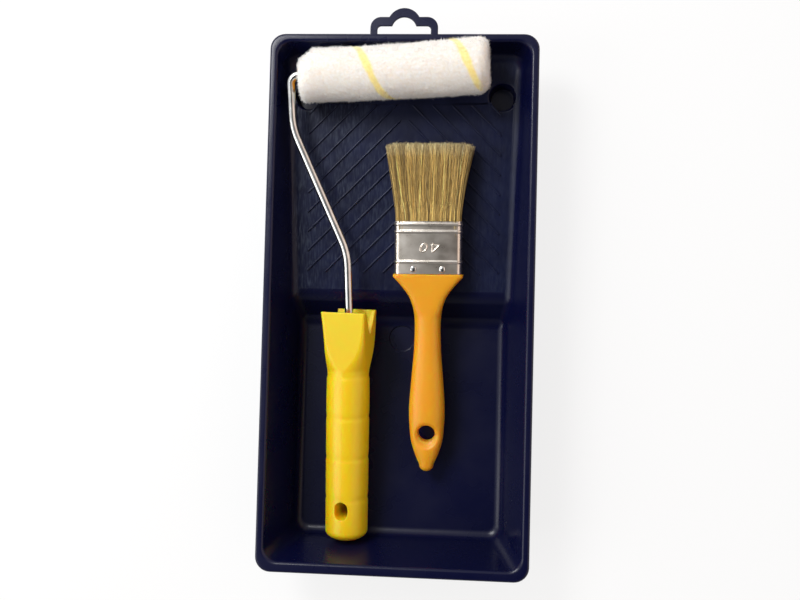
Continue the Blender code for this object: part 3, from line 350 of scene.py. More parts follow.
# A block with drafted sides is cut along the floor, opened at the top, and given its rim.
depth = rim_z - floor_z
mouth_length = mouth_top_y - mouth_low_y
mouth_middle = (mouth_top_y + mouth_low_y) / 2
bpy.ops.mesh.primitive_cube_add(size=1, location=(0, mouth_middle, rim_z - depth / 2),
                                scale=(2 * mouth_half, mouth_length, depth))
tray = start_piece("tray_shell")
deep_half = mouth_half - depth * math.tan(DRAFT)
deep_top_y = mouth_top_y - depth * math.tan(DRAFT)
edit(tray, lambda: (resize((deep_half / mouth_half, (deep_top_y - floor_low_y) / mouth_length, 1),
                           (0, mouth_middle, floor_z)),
                    move((0, (deep_top_y + floor_low_y) / 2 - mouth_middle, 0))),
     "faces", lambda face: face.normal.z < -0.9)
edit(tray, lambda: bevel_edges(RIM_CORNER, 8),
     "edges", lambda edge: abs(edge.verts[0].co.z - edge.verts[1].co.z) > depth / 2)
past_y = tray_high.y + RAMP_END_DEPTH
past_z = ramp_end_z + (past_y - ramp_end_y) * math.tan(ramp_slope)
under_floor = [(floor_top_y, -depth), (floor_top_y, floor_z), (ramp_end_y, ramp_end_z),
               (past_y, past_z), (past_y, -depth)]
combine(tray, loft("under_floor", [[(x, y, z) for y, z in under_floor]
                                   for x in (-2 * mouth_half, 2 * mouth_half)]), "DIFFERENCE")
edit(tray, lambda: bevel_edges(FLOOR_ROUND, 4), "edges", on_floor)
edit(tray, lambda: bpy.ops.mesh.delete(type="ONLY_FACE"), "faces",
     lambda face: face.normal.z > 0.9 and face.calc_center_median().z > rim_z - TOUCHING)
edit(tray, bpy.ops.mesh.flip_normals)
grow_y = (rim_top_y - rim_low_y) / mouth_length
rim_centre = (rim_top_y - grow_y * mouth_top_y) / (1 - grow_y)
edit(tray, lambda: (bpy.ops.mesh.extrude_edges_move(),
                    resize((tray_high.x / mouth_half, grow_y, 1), (0, rim_centre, rim_z)),
                    bpy.ops.mesh.extrude_edges_move(), move((0, 0, -SKIRT))),
     "edges", lambda edge: edge.is_boundary)
edit(tray, lambda: bevel_edges(RIM_ROUND, 4), "edges",
     lambda edge: creased(edge) and all(abs(v.co.z - rim_z) < TOUCHING for v in edge.verts))
use_modifier(tray, "SOLIDIFY", thickness=WALL, offset=-1.0, use_even_offset=True)

# The hang tab: a flat arch just under the rim's level, with a humped slot behind it.
TAB_WIDTH = 0.0392
TAB_THICKNESS = 0.0018
TAB_DROP = 0.0002
TAB_ROUND = 0.0004
TAB_CORNER = 0.0062
TAB_BAR = 0.0053
SLOT_WIDTH = 0.0309
SLOT_HEIGHT = 0.0044
HUMP_HALF = 0.0069
HUMP_RISE = 0.0052
HUMP_RADIUS = 0.00718
CROWN_RADIUS = 0.00982


def add_drum(name, centre, radius, low_z, high_z, low_radius=None):
    """An upright cylinder, or a cone with its own lower radius."""
    bpy.ops.mesh.primitive_cone_add(vertices=64, radius1=low_radius or radius, radius2=radius,
                                    depth=high_z - low_z,
                                    location=(centre[0], centre[1], (low_z + high_z) / 2))
    return start_piece(name)


def arc(centre, radius, start, end, steps):
    """Points along an arc, its angles in degrees."""
    angles = [math.radians(start + (end - start) * step / steps) for step in range(steps + 1)]
    return [(centre[0] + radius * math.cos(angle), centre[1] + radius * math.sin(angle))
            for angle in angles]


def arch(half_width, corner, shoulder, top, radius, half_top, steps):
    """Outline of an arch: it stands on the rim, with round shoulders and a humped top."""
    spread = math.degrees(math.asin(half_top / radius))
    half = [(half_width, rim_top_y - RIM_ROUND - WALL / 3)]
    half += arc((half_width - corner, rim_top_y + shoulder - corner), corner, 0, 90, steps)
    half += arc((0, rim_top_y + top - radius), radius, 90 - spread, 90, 9)
    return half + [(-x, y) for x, y in reversed(half[:-1])]


outer_edge = arch(TAB_WIDTH / 2, TAB_CORNER, SLOT_HEIGHT + TAB_BAR, TAB_REACH, CROWN_RADIUS,
                  HUMP_HALF + TAB_BAR / 3, 10)
inner_edge = arch(SLOT_WIDTH / 2, SLOT_HEIGHT / 2, SLOT_HEIGHT, SLOT_HEIGHT + HUMP_RISE,
                  HUMP_RADIUS, HUMP_HALF, 8)
tab = loft("hang_tab", [[(x, y, z) for x, y in outer_edge + inner_edge[::-1]]
                        for z in (rim_z - TAB_DROP - TAB_THICKNESS, rim_z - TAB_DROP)])
soften(tab, TAB_ROUND, 60)
combine(tray, tab, "UNION")

# Two fields of thin raised ribs, which press the spare paint out of the sleeve.
RIB_PITCH = 0.01165
RIB_WIDTH = 0.0011
RIB_HEIGHT = 0.0008
RIB_ROUND = 0.00038
RIB_FIELD_HALF = 0.0575
RIB_GAP_HALF = 0.0025
RIB_START = 0.0148
RIB_END_MARGIN = 0.029

ramp_length = (ramp_top_y - ramp_end_y) / math.cos(ramp_slope)
ramp_plane = (Matrix.Translation((0, ramp_end_y, ramp_end_z))
              @ Matrix.Rotation(ramp_slope, 4, "X"))
rib_end = ramp_length - RIB_END_MARGIN
bars = []
peak = RIB_START + RIB_PITCH
while peak < rib_end + RIB_FIELD_HALF:
    near = max(RIB_GAP_HALF, peak - rib_end)
    far = min(RIB_FIELD_HALF, peak - RIB_START)
    if far - near > RIB_PITCH / 3:
        middle = (near + far) / 2
        for side in (1, -1):
            place = ramp_plane @ Matrix.Translation((side * middle, peak - middle, 0))
            turned = place @ Matrix.Rotation(-side * math.radians(45), 4, "Z")
            bpy.ops.mesh.primitive_cube_add(size=1, location=turned.to_translation(),
                                            rotation=turned.to_euler(),
                                            scale=((far - near) * math.sqrt(2), RIB_WIDTH,
                                                   2 * RIB_HEIGHT))
            bars.append(start_piece("rib"))
    peak += RIB_PITCH
for bar in bars:
    bar.select_set(True)
bpy.context.view_layer.objects.active = bars[0]
bpy.ops.object.join()
soften(bars[0], RIB_ROUND, 40, clamped=True)
combine(tray, bars[0], "UNION")

# The two hollow feet under the shallow end show from above as round wells in the ramp, and the
# mould's gate has left a round mark in the floor of the well.
FOOT_HALF_SPACING = 0.0579
FOOT_SETBACK = 0.0323
FOOT_RADIUS = 0.0080
FOOT_TAPER = 0.0010
FOOT_MOUTH = 0.0016
FOOT_SINK = 0.0095
FOOT_SOLE_ROUND = 0.0006
FOOT_FLOOR_ROUND = 0.0008
FOOT_OVER = 0.004
FOOT_EDGE_REACH = 0.0003
GATE_RADIUS = 0.0078
GATE_DEPTH = 0.0008
GATE_OVER = 0.001
GATE_EDGE_REACH = 0.0001
GATE_ROUND = 0.00038
GATE_SETBACK = 0.0108

foot_places = [Vector((side * FOOT_HALF_SPACING, rim_top_y - FOOT_SETBACK, 0)) for side in (-1, 1)]
gate_place = Vector((0, floor_top_y - GATE_SETBACK, 0))
ramp_z = floor_height(foot_places[0].y)
for place in foot_places:
    foot = add_drum("foot", place, FOOT_RADIUS + WALL, 0, ramp_z - WALL / 2,
                    FOOT_RADIUS + WALL - FOOT_TAPER)
    edit(foot, lambda: bpy.ops.transform.rotate(value=-ramp_slope, orient_axis="X",
                                                orient_type="GLOBAL",
                                                center_override=(*place.xy, ramp_z - WALL / 2)),
         "faces", lambda face: face.normal.z > 0.9)
    edit(foot, lambda: bevel_edges(FOOT_SOLE_ROUND, 3), "edges",
         lambda edge: max(vertex.co.z for vertex in edge.verts) < TOUCHING)
    combine(tray, foot, "UNION")
    combine(tray, add_drum("recess", place, FOOT_RADIUS, ramp_z - FOOT_SINK, ramp_z + FOOT_OVER,
                           FOOT_RADIUS - FOOT_TAPER), "DIFFERENCE")


def near_place(edge, places, reach):
    """Whether an edge lies within reach of one of the places, seen from above."""
    return all(any((vertex.co.xy - place.xy).length < reach for place in places)
               for vertex in edge.verts)


edit(tray, lambda: bevel_edges(FOOT_MOUTH, 5), "edges",
     lambda edge: on_floor(edge) and creased(edge)
     and near_place(edge, foot_places, FOOT_RADIUS + FOOT_EDGE_REACH))
edit(tray, lambda: bevel_edges(FOOT_FLOOR_ROUND, 3), "edges",
     lambda edge: near_place(edge, foot_places, FOOT_RADIUS) and creased(edge)
     and all(abs(v.co.z - ramp_z + FOOT_SINK) < TOUCHING for v in edge.verts))
combine(tray, add_drum("gate", gate_place, GATE_RADIUS, floor_z - GATE_DEPTH, floor_z + GATE_OVER),
        "DIFFERENCE")
edit(tray, lambda: bevel_edges(GATE_ROUND, 3), "edges",
     lambda edge: near_place(edge, [gate_place], GATE_RADIUS + GATE_EDGE_REACH) and creased(edge)
     and all(0 < v.co.z < floor_z + GATE_EDGE_REACH for v in edge.verts))
tray.name = "tray_moulding"
smooth(tray, 35)


def grain(tree, millimetres, detail=2.0, stretch=(1, 1, 1)):
    """Uneven grey over the object's own coordinates, in patches of about the given size."""
    place = add_node(tree, "ShaderNodeTexCoord")
    sized = add_node(tree, "ShaderNodeMapping",
                     inputs={"Vector": place.outputs["Object"], "Scale": stretch})
    return add_node(tree, "ShaderNodeTexNoise",
                    inputs={"Vector": sized.outputs["Vector"], "Scale": 1000 / millimetres,
                            "Detail": detail, "Roughness": 0.6}).outputs["Fac"]


def patches(tree, low, high, millimetres, detail=2.0, stretch=(1, 1, 1), between=(0.35, 0.65)):
    """Such a grain as values from low to high; a narrow 'between' makes hard-edged patches."""
    return add_node(tree, "ShaderNodeMapRange",
                    inputs={"Value": grain(tree, millimetres, detail, stretch),
                            "From Min": between[0], "From Max": between[1],
                            "To Min": low, "To Max": high}).outputs["Result"]


def relief(tree, shader, *layers):
    """Fine relief: layers of a pattern, its depth in millimetres and its strength, lowest first."""
    inputs = {}
    for pattern, millimetres, strength in layers:
        bump = add_node(tree, "ShaderNodeBump", inputs={
            "Height": pattern, "Distance": millimetres / 1000, "Strength": strength, **inputs})
        inputs = {"Normal": bump.outputs["Normal"]}
    fill_sockets(tree, shader, inputs)


# Polished polypropylene: a soft gloss with a faint orange peel, duller worn patches, and
# scratches that are drawn coarse enough to show.
polished, tree, shader = new_material("navy_polypropylene_polished", {
    "Base Color": "#070a2c", "IOR": 1.49, "Specular IOR Level": 0.32})
fill_sockets(tree, shader, {"Roughness": patches(tree, 0.24, 0.34, 34, 3)})
relief(tree, shader, (grain(tree, 2.6, 1), 0.03, 0.5),
       (patches(tree, 0, 1, 1.4, 3, (1.0, 0.06, 1.0), (0.62, 0.72)), 0.012, 0.5))

# The ramp's mould face was left rougher, so the ramp is paler, and it has fine scuffs along it. They
# are made paler and denser towards the left: partly real wear from the roller, partly the window's
# painted sheen, which lights the ramp's left more.
frosted, tree, shader = new_material("navy_polypropylene_frosted", {
    "IOR": 1.49, "Specular IOR Level": 0.26})
streaks = (0.8, 4, (1.0, 0.10, 1.0))
mottle = add_node(tree, "ShaderNodeMix", {"data_type": "RGBA"},
                  {0: patches(tree, 0, 1, 16, 4), 6: "#0a0f2a", 7: "#111735"})
place = add_node(tree, "ShaderNodeTexCoord")
across = add_node(tree, "ShaderNodeSeparateXYZ", inputs={0: place.outputs["Object"]})
# Painted sheen and wear: the scuffs fade out from the ramp's left towards its middle.
left = add_node(tree, "ShaderNodeMapRange", inputs={
    "Value": across.outputs["X"], "From Min": -0.050, "From Max": 0.005,
    "To Min": 1.0, "To Max": 0.15})
used = add_node(tree, "ShaderNodeMath", {"operation": "MULTIPLY"},
                {0: left.outputs["Result"], 1: patches(tree, 0.3, 1, 45, 3, between=(0.42, 0.62))})
scuffs_and_left_sheen = add_node(tree, "ShaderNodeMath", {"operation": "MULTIPLY"},
                  {0: patches(tree, 0, 1, *streaks, (0.46, 0.70)), 1: used.outputs[0]})
scuffed_and_sheen = add_node(tree, "ShaderNodeMix", {"data_type": "RGBA", "blend_type": "SCREEN"},
                   {0: scuffs_and_left_sheen.outputs[0], 6: mottle.outputs[2], 7: "#3c444e"})
fill_sockets(tree, shader, {"Base Color": scuffed_and_sheen.outputs[2],
                            "Roughness": patches(tree, 0.30, 0.42, *streaks)})
relief(tree, shader, (grain(tree, 0.5), 0.03, 0.5))

FROST_HALF = 0.066
FROST_HEIGHTS = (-0.00005, RIB_HEIGHT + 0.0001)
tray.data.materials.clear()
tray.data.materials.append(polished)
tray.data.materials.append(frosted)
for face in tray.data.polygons:
    above = (ramp_plane.inverted() @ face.center).z
    inside = ramp_end_y < face.center.y < ramp_top_y and abs(face.center.x) < FROST_HALF
    if inside and FROST_HEIGHTS[0] < above < FROST_HEIGHTS[1]:
        face.material_index = 1
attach(tray, "tray")
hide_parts("tray")


# --- Roller handle ------------------------------------------------------------------------
# The handle is one moulding of bright yellow polypropylene: a round grip with four shallow
# waves along it, a square hollow mouth with a scoop in each side, and a hanging slot.
GRIP_LENGTH = 0.1372
GRIP_RADIUS = 0.0128
WAIST_RADIUS = 0.0124
WAIST_REACH = 0.009
BUTT_RADIUS = 0.0126
DOME = 0.0060
MOUTH_HALF = (0.0133, 0.0137)
MOUTH_CORNER = 0.0015
MOUTH_BLEND = 0.0345
MOUTH_LEFT_IN = 0.0014
MOUTH_ROUNDING = (3.3, 3.6)
MOUTH_WALL = 0.0022
MOUTH_STEPS = 36
GRIP_STEPS = 130
DOME_STEPS = 12
POCKET_DEPTH = 0.022
POCKET_CORNER = 0.0010
POCKET_TAPER = 0.002
SCOOP_HALF = 0.0096
SCOOP_DEPTH = 0.0148
SCOOP_ROUND = 0.0016
# Two corners of the block that cuts back the mouth's rear left corner.
CORNER_CUT = ((-0.02, -0.0085, -0.02), (-0.0104, 0.01, -0.004))
SOCKET_RADIUS = 0.0060
SOCKET_RECESS = 0.0025
WIRE_RADIUS = 0.0025
BORE_PLAY = 0.0002
BORE_DEPTH = 0.0443
WAVE_PLACES = [0.0383 + number * 0.0244 for number in range(4)]
WAVE_DEPTH = 0.00028
WAVE_FALL = 0.0040
WAVE_RISE = 0.0016
SLOT_HALF = (0.0045, 0.0060)
SLOT_SETBACK = 0.0199
SLOT_WAIST = 0.72
CUT_PAST = 0.002
CUT_THROUGH = 0.02
GRIP_EDGE_ROUND = 0.00035

# Where the roller lies at rest, its mouth's middle and its lean in degrees, as the solids have it.
ROLLER_AT = (-0.0296, -0.012306, 0.029779)
ROLLER_PITCH = 6.776
ROLLER_ROLL = -3.576
GRIP_TWIST = -5.5

roller_place = (Matrix.Translation(ROLLER_AT)
                @ Matrix.Rotation(math.radians(ROLLER_PITCH), 4, "X")
                @ Matrix.Rotation(math.radians(ROLLER_ROLL), 4, "Y"))
grip_place = roller_place @ Matrix.Rotation(math.radians(GRIP_TWIST), 4, "Y")


def box_ring(y, half_width, half_depth, corner, steps=12, left_corner=None, left_in=0.0):
    """Ring at y round a box with round corners; its left side can differ from its right."""
    points = []
    for quarter, (side, up) in enumerate(((1, 1), (-1, 1), (-1, -1), (1, -1))):
        half = half_width - (left_in if side < 0 else 0)
        wanted = corner if side > 0 or left_corner is None else left_corner
        turn = min(wanted, 0.99 * half, 0.99 * half_depth)
        points += arc((side * (half - turn), up * (half_depth - turn)), turn,
                      90 * quarter, 90 * (quarter + 1), steps)
    return [(x, y, z) for x, z in points]


def wave(distance):
    """Depth of the grip's waves: each falls away slowly and comes back up in a short rise."""
    for place in WAVE_PLACES:
        offset = (distance - place) / (WAVE_FALL if distance < place else WAVE_RISE)
        if abs(offset) < 1:
            return WAVE_DEPTH * (1 + math.cos(math.pi * offset)) / 2
    return 0.0


def waist(distance):
    """How much slimmer the grip is near the place where its square mouth ends."""
    return (GRIP_RADIUS - WAIST_RADIUS) * math.exp(-((distance - MOUTH_BLEND) / WAIST_REACH) ** 2)


rings = []
for step in range(MOUTH_STEPS):
    share = step / MOUTH_STEPS
    half_width, half_depth = (half + (GRIP_RADIUS - half) * share - waist(MOUTH_BLEND * share)
                              for half in MOUTH_HALF)
    right, left = (MOUTH_CORNER + (min(half_width, half_depth) - MOUTH_CORNER) * share ** late
                   for late in MOUTH_ROUNDING)
    rings.append(box_ring(-MOUTH_BLEND * share, half_width, half_depth, right, left_corner=left,
                          left_in=MOUTH_LEFT_IN * math.sin(math.pi * share)))
for place in np.linspace(MOUTH_BLEND, GRIP_LENGTH - DOME, GRIP_STEPS):
    share = (place - MOUTH_BLEND) / (GRIP_LENGTH - DOME - MOUTH_BLEND)
    radius = GRIP_RADIUS + (BUTT_RADIUS - GRIP_RADIUS) * share - wave(place) - waist(place)
    rings.append(box_ring(-place, radius, radius, radius))
for step in range(1, DOME_STEPS):
    swing = math.pi / 2 * step / DOME_STEPS
    radius = BUTT_RADIUS * math.cos(swing)
    rings.append(box_ring(DOME * (1 - math.sin(swing)) - GRIP_LENGTH, radius, radius, radius))
grip = loft("roller_grip", rings)
pocket_half = [half - MOUTH_WALL for half in MOUTH_HALF]
pocket_end = [half - POCKET_TAPER for half in pocket_half]
combine(grip, loft("pocket", [box_ring(CUT_PAST, *pocket_half, POCKET_CORNER, 4),
                              box_ring(-POCKET_DEPTH, *pocket_end, POCKET_CORNER, 4)]),
        "DIFFERENCE")
scoop_lean = math.degrees(math.atan2(SCOOP_HALF, SCOOP_DEPTH))
scoop_end = SCOOP_ROUND / math.sin(math.radians(scoop_lean)) - SCOOP_DEPTH
scoop_past = SCOOP_DEPTH / 2
scoop_far = SCOOP_HALF * (1 + scoop_past / SCOOP_DEPTH)
scoop_shape = [(scoop_past, scoop_far), *arc((scoop_end, 0), SCOOP_ROUND, 90 + scoop_lean,
                                             270 - scoop_lean, 10), (scoop_past, -scoop_far)]
scoop = loft("scoop", [[(x, y, z) for y, z in scoop_shape] for x in (-CUT_THROUGH, CUT_THROUGH)])


def add_block(name, low, high):
    """A cube stretched between two corners."""
    low, high = Vector(low), Vector(high)
    bpy.ops.mesh.primitive_cube_add(size=1, location=(low + high) / 2, scale=high - low)
    return start_piece(name)


def rod_along(name, radius, low_y, high_y):
    """A round bar along Y."""
    rod = add_drum(name, (0, 0), radius, low_y, high_y)
    rod.data.transform(Matrix.Rotation(-math.pi / 2, 4, "X"))
    return rod


combine(scoop, add_block("corner_cut", *CORNER_CUT), "UNION")
combine(grip, scoop, "DIFFERENCE")
combine(grip, rod_along("socket", SOCKET_RADIUS, -POCKET_DEPTH - CUT_PAST, -SOCKET_RECESS), "UNION")
combine(grip, rod_along("bore", WIRE_RADIUS + BORE_PLAY, -BORE_DEPTH, CUT_PAST), "DIFFERENCE")
hang_slot = add_block("hang_slot", (-SLOT_HALF[0], -SLOT_HALF[1], -CUT_THROUGH),
                      (SLOT_HALF[0], SLOT_HALF[1], CUT_THROUGH))
edit(hang_slot, lambda: bevel_edges(0.99 * SLOT_HALF[0], 12), "edges",
     lambda edge: abs(edge.verts[0].co.z - edge.verts[1].co.z) > CUT_THROUGH)
edit(hang_slot, lambda: bpy.ops.mesh.bisect(plane_co=(0, 0, 0), plane_no=(0, 0, 1)))
edit(hang_slot, lambda: resize((SLOT_WAIST, SLOT_WAIST, 1), (0, 0, 0)), "verts",
     lambda vertex: abs(vertex.co.z) < TOUCHING)
hang_slot.data.transform(Matrix.Translation((0, SLOT_SETBACK - GRIP_LENGTH, 0)))
combine(grip, hang_slot, "DIFFERENCE")
soften(grip, GRIP_EDGE_ROUND, 38)
smooth(grip, 40)
grip.data.transform(grip_place)


def coloured_polypropylene(name, colour, roughness, sink_size, sink_depth, spark_depth):
    """Polypropylene with slight sink marks and a spark finish, which is drawn coarse enough to show."""
    look, tree, shader = new_material(name, {
        "Base Color": colour, "Roughness": roughness, "IOR": 1.49, "Subsurface Weight": 0.75,
        "Subsurface Radius": (1.0, 0.15, 0.02), "Subsurface Scale": 0.0085})
    relief(tree, shader, (grain(tree, sink_size), sink_depth, 0.4),
           (grain(tree, 0.35), spark_depth, 0.5))
    return look


def dress(piece, look):
    """Gives a piece its one material."""
    piece.data.materials.clear()
    piece.data.materials.append(look)


# Yellow pigment lets light in a little way and gives it back redder, so shades turn orange.
dress(grip, coloured_polypropylene("yellow_polypropylene", "#e8c70e", 0.38, 14, 0.10, 0.008))
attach(grip, "roller_frame")
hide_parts("roller_handle")


# --- Roller frame -------------------------------------------------------------------------
# One 5 mm steel wire, bent cold in four places and zinc plated bright. It runs from deep in
# the handle, up past the sleeve's near end and through it as the axle.
WIRE_STOPS = [(0.0, -0.044), (0.0, 0.0), (-0.0014, 0.0337), (-0.0347, 0.1066),
              (-0.0364, 0.1368), (0.076944, 0.142740)]
WIRE_BENDS = (0.040, 0.040, 0.040, 0.0050)
BEND_STEPS = 18
WIRE_END_ROUND = 0.0005


def tube_along(name, points, radius, roundness, closed=False):
    """A round bar whose middle line runs through points."""
    curve = bpy.data.curves.new(name, "CURVE")
    curve.dimensions = "3D"
    curve.bevel_depth = radius
    curve.bevel_resolution = roundness
    curve.use_fill_caps = True
    line = curve.splines.new("POLY")
    line.points.add(len(points) - 1)
    for point, place in zip(line.points, points):
        point.co = (*place, 1)
    line.use_cyclic_u = closed
    pick(add_object(name, curve))
    bpy.ops.object.convert(target="MESH")
    return start_piece(name)


stops = [Vector((*stop, 0)) for stop in WIRE_STOPS]
path = [stops[0]]
for before, corner, after, radius in zip(stops, stops[1:], stops[2:], WIRE_BENDS):
    arriving, leaving = (corner - before).normalized(), (after - corner).normalized()
    turn = arriving.angle(leaving)
    centre = corner + (leaving - arriving).normalized() * radius / math.cos(turn / 2)
    start = corner - arriving * radius * math.tan(turn / 2) - centre
    axis = arriving.cross(leaving).normalized()
    path += [centre + Matrix.Rotation(turn * step / BEND_STEPS, 3, axis) @ start
             for step in range(BEND_STEPS + 1)]
path.append(stops[-1])
wire = tube_along("frame_wire", path, WIRE_RADIUS, 10)
soften(wire, WIRE_END_ROUND, 60, clamped=True)
smooth(wire, 40, weighted=False)
wire.data.transform(roller_place)


def two_tones(tree, shader, first, second, *pattern):
    """Colours a surface unevenly between two tones, by a grain's size, detail and stretch."""
    mix = add_node(tree, "ShaderNodeMix", {"data_type": "RGBA"},
                   {0: patches(tree, 0, 1, *pattern), 6: first, 7: second})
    fill_sockets(tree, shader, {"Base Color": mix.outputs[2]})


# Drawn wire keeps faint lines along it, wider here than they are so that they show, and the zinc
# has a slightly milky, uneven shine.
zinc, tree, shader = new_material("zinc_plated_steel", {"Metallic": 1.0})
two_tones(tree, shader, "#cbcbc9", "#e4e3de", 6, 4)
fill_sockets(tree, shader, {"Roughness": patches(tree, 0.16, 0.23, 6, 4)})
relief(tree, shader, (grain(tree, 0.5, 2, (1.0, 0.03, 1.0)), 0.006, 0.5))
dress(wire, zinc)
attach(wire, "roller_frame")
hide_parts("wire_frame")


# --- Pile sleeve --------------------------------------------------------------------------
# The sleeve is knitted polyester pile on a stiff core: short white fibres stand out in small
# tufts, and one yellow yarn is knitted in with them, so it winds round as a stripe.
SLEEVE_START = (-0.030608, 0.137104)
AXLE_ANGLE = math.radians(3)
PILE_ENDS = (0.0008, 0.1099)
PILE_RADII = (0.0149, 0.0159)
PILE_BORE = 0.0092
BORE_LIP = 0.0001
PILE_DEPTH = 0.0026
END_ROUNDS = (0.0085, 0.0055)
END_SHAPES = ((1.2, 0.85), (1.15, -0.25))
END_FLARE = 0.0007
FLARE_REACH = 0.030
PILE_SAG = (0.0006, 0.0008)
BACKING_GRID = (220, 150)
BACKING_INSET = 0.00025
BACKING_RIPPLE = 0.00022
RIPPLE_SIZE = 0.0022
PILE_FACE = 2 * math.pi * 0.0155 * 0.122
TUFT_SPACING = 0.0011
TUFT_TALL = 0.03
TUFT_LEAN = 0.00013
DRIFT = 0.0002
DRIFT_SIZE = 0.016
FIBRES_PER_TUFT = 8
FIBRE_SCATTER = 0.00036
FIBRE_TALL = 0.05
FIBRE_LEAN = 0.00024
FIBRE_CURL = 0.00012
FIBRE_RADII = np.array([0.00011, 0.00011, 0.00004])
FIBRE_THICK = (0.8, 1.25)
FIBRE_SHADE = (0.96, 1.0)
# Fibres are painted darker towards their roots: painted shade deep in the pile.
PAINTED_ROOT_SHADE = np.array([0.90, 0.97, 1.0])
FIBRES_PER_PIECE = 14000
STRIPE_PITCH = 0.056
STRIPE_WIDTH = 0.0044
STRIPE_START = 0.0285
STRIPE_SWAY = 0.0029
STRIPE_FRAY = (0.0003, 0.0001)
STRIPE_BLUR = 0.0013
STRIPE_END = 0.0030

sleeve_place = (roller_place @ Matrix.Translation((*SLEEVE_START, 0))
                @ Matrix.Rotation(AXLE_ANGLE, 4, "Z"))
# Tufts, fibres and hairs are all drawn from this one seeded generator, so they always fall alike.
chance = np.random.default_rng(7)


def pile_point(along, turn, inset=0.0):
    """Point and outward direction on the pile: along runs 0 to 1 from bore to bore."""
    corner_low, corner_high = END_ROUNDS
    low, high = PILE_ENDS
    radii = np.array(PILE_RADII)
    drop_low, drop_high = np.minimum(END_ROUNDS, radii - PILE_BORE - BORE_LIP)
    sizes = [radii[0] - drop_low - PILE_BORE, corner_low * math.pi / 2,
             high - low - corner_low - corner_high, corner_high * math.pi / 2,
             radii[1] - drop_high - PILE_BORE]
    marks = np.concatenate(([0.0], np.cumsum(sizes))) / sum(sizes)
    stretch = [np.clip((along - start) / (end - start), 0, 1)
               for start, end in zip(marks, marks[1:])]
    lean_low, lean_high = stretch[1] * math.pi / 2, stretch[3] * math.pi / 2
    cut_low, cut_high = (mean + swing * np.cos(turn) for mean, swing in END_SHAPES)
    x = (low + corner_low * (1 - np.cos(lean_low) ** cut_low) + stretch[2] * sizes[2]
         + corner_high * np.sin(lean_high) ** cut_high)
    width = (PILE_BORE + stretch[0] * sizes[0] + drop_low * np.sin(lean_low) ** cut_low
             + stretch[2] * (radii[1] - radii[0])
             - drop_high * (1 - np.cos(lean_high) ** cut_high) - stretch[4] * sizes[4]
             + END_FLARE * stretch[1] * np.clip(1 - (x - low) / FLARE_REACH, 0, 1))
    tilt = np.where(along < marks[2], lean_low - math.pi / 2, lean_high)
    outward = np.stack([np.sin(tilt), np.cos(tilt) * np.cos(turn), np.cos(tilt) * np.sin(turn)],
                       axis=-1)
    sag = PILE_SAG[0] + PILE_SAG[1] * np.sin(math.pi * np.clip((x - low) / (high - low), 0, 1))
    centre = np.stack([x, width * np.cos(turn) - sag, width * np.sin(turn)], axis=-1)
    return centre - outward * inset, outward


def colour_array(code):
    return np.array(hex_colour(code)[:3])


WHITE_YARN = colour_array("#e8e5e1")
YELLOW_YARN = colour_array("#f3e4a2")


def yarn_colours(points):
    """White yarn, with one yellow stripe that winds along the sleeve."""
    turn = np.arctan2(points[:, 2], points[:, 1])
    centre = STRIPE_START + STRIPE_PITCH * turn / (2 * math.pi) + STRIPE_SWAY * np.cos(turn)
    offset = (points[:, 0] - centre + STRIPE_PITCH / 2) % STRIPE_PITCH - STRIPE_PITCH / 2
    edge = (STRIPE_WIDTH / 2 + STRIPE_FRAY[0] * np.sin(5 * turn + 1)
            + STRIPE_FRAY[1] * np.sin(13 * turn))
    share = (np.clip((edge - np.abs(offset)) / STRIPE_BLUR + 0.5, 0, 1)
             * np.clip((PILE_ENDS[1] - STRIPE_END - points[:, 0]) / STRIPE_END, 0, 1))[:, None]
    return WHITE_YARN * (1 - share) + YELLOW_YARN * share


def waves_in_space(points, size, rows=9):
    """Smooth, repeatable wander in three directions over points in space, mostly within 1."""
    ways = np.random.default_rng(rows).normal(size=(rows, 3)) * 2 * math.pi / size
    starts = np.random.default_rng(rows + 1).uniform(0, 2 * math.pi, (rows, 3))
    angle = points @ ways.T
    return np.stack([np.sin(angle + starts[:, axis]).sum(axis=1) for axis in range(3)],
                    axis=-1) / math.sqrt(rows)


def mesh_from(name, points, faces, tints):
    """A piece from arrays of points and of triangles or quads, with a colour at each point."""
    mesh = bpy.data.meshes.new(name)
    corners = faces.shape[1]
    mesh.vertices.add(len(points))
    mesh.vertices.foreach_set("co", points.astype(np.float32).ravel())
    mesh.loops.add(faces.size)
    mesh.loops.foreach_set("vertex_index", faces.astype(np.int32).ravel())
    mesh.polygons.add(len(faces))
    mesh.polygons.foreach_set("loop_start", np.arange(0, faces.size, corners, dtype=np.int32))
    mesh.update(calc_edges=True)
    layer = mesh.color_attributes.new("tint", "BYTE_COLOR", "POINT")
    layer.data.foreach_set("color", np.c_[tints, np.ones(len(tints))].astype(np.float32).ravel())
    mesh.shade_smooth()
    return add_object(name, mesh)


def strands(name, paths, widths, tints):
    """Closed three-sided hairs along paths (hair, stop, xyz), with a radius and tint per stop."""
    hairs, stops, _ = paths.shape
    ways = np.gradient(paths, axis=1)
    ways /= np.linalg.norm(ways, axis=2, keepdims=True)
    aside = np.cross(ways, np.random.default_rng(3).normal(size=(hairs, 1, 3)))
    aside /= np.linalg.norm(aside, axis=2, keepdims=True)
    above = np.cross(ways, aside)
    points = np.empty((hairs, stops, 3, 3))
    for corner in range(3):
        angle = 2 * math.pi * corner / 3
        points[:, :, corner] = paths + widths[..., None] * (math.cos(angle) * aside
                                                            + math.sin(angle) * above)
    faces = [(0, 2, 1), (3 * stops - 3, 3 * stops - 2, 3 * stops - 1)]
    for stop in range(stops - 1):
        for corner in range(3):
            a, b = 3 * stop + corner, 3 * stop + (corner + 1) % 3
            faces += [(a, b, b + 3), (a, b + 3, a + 3)]
    faces = (np.array(faces)[None] + (np.arange(hairs) * 3 * stops)[:, None, None]).reshape(-1, 3)
    tints = np.repeat(tints, 3, axis=1).reshape(-1, 3)
    return mesh_from(name, points.reshape(-1, 3), faces, tints)


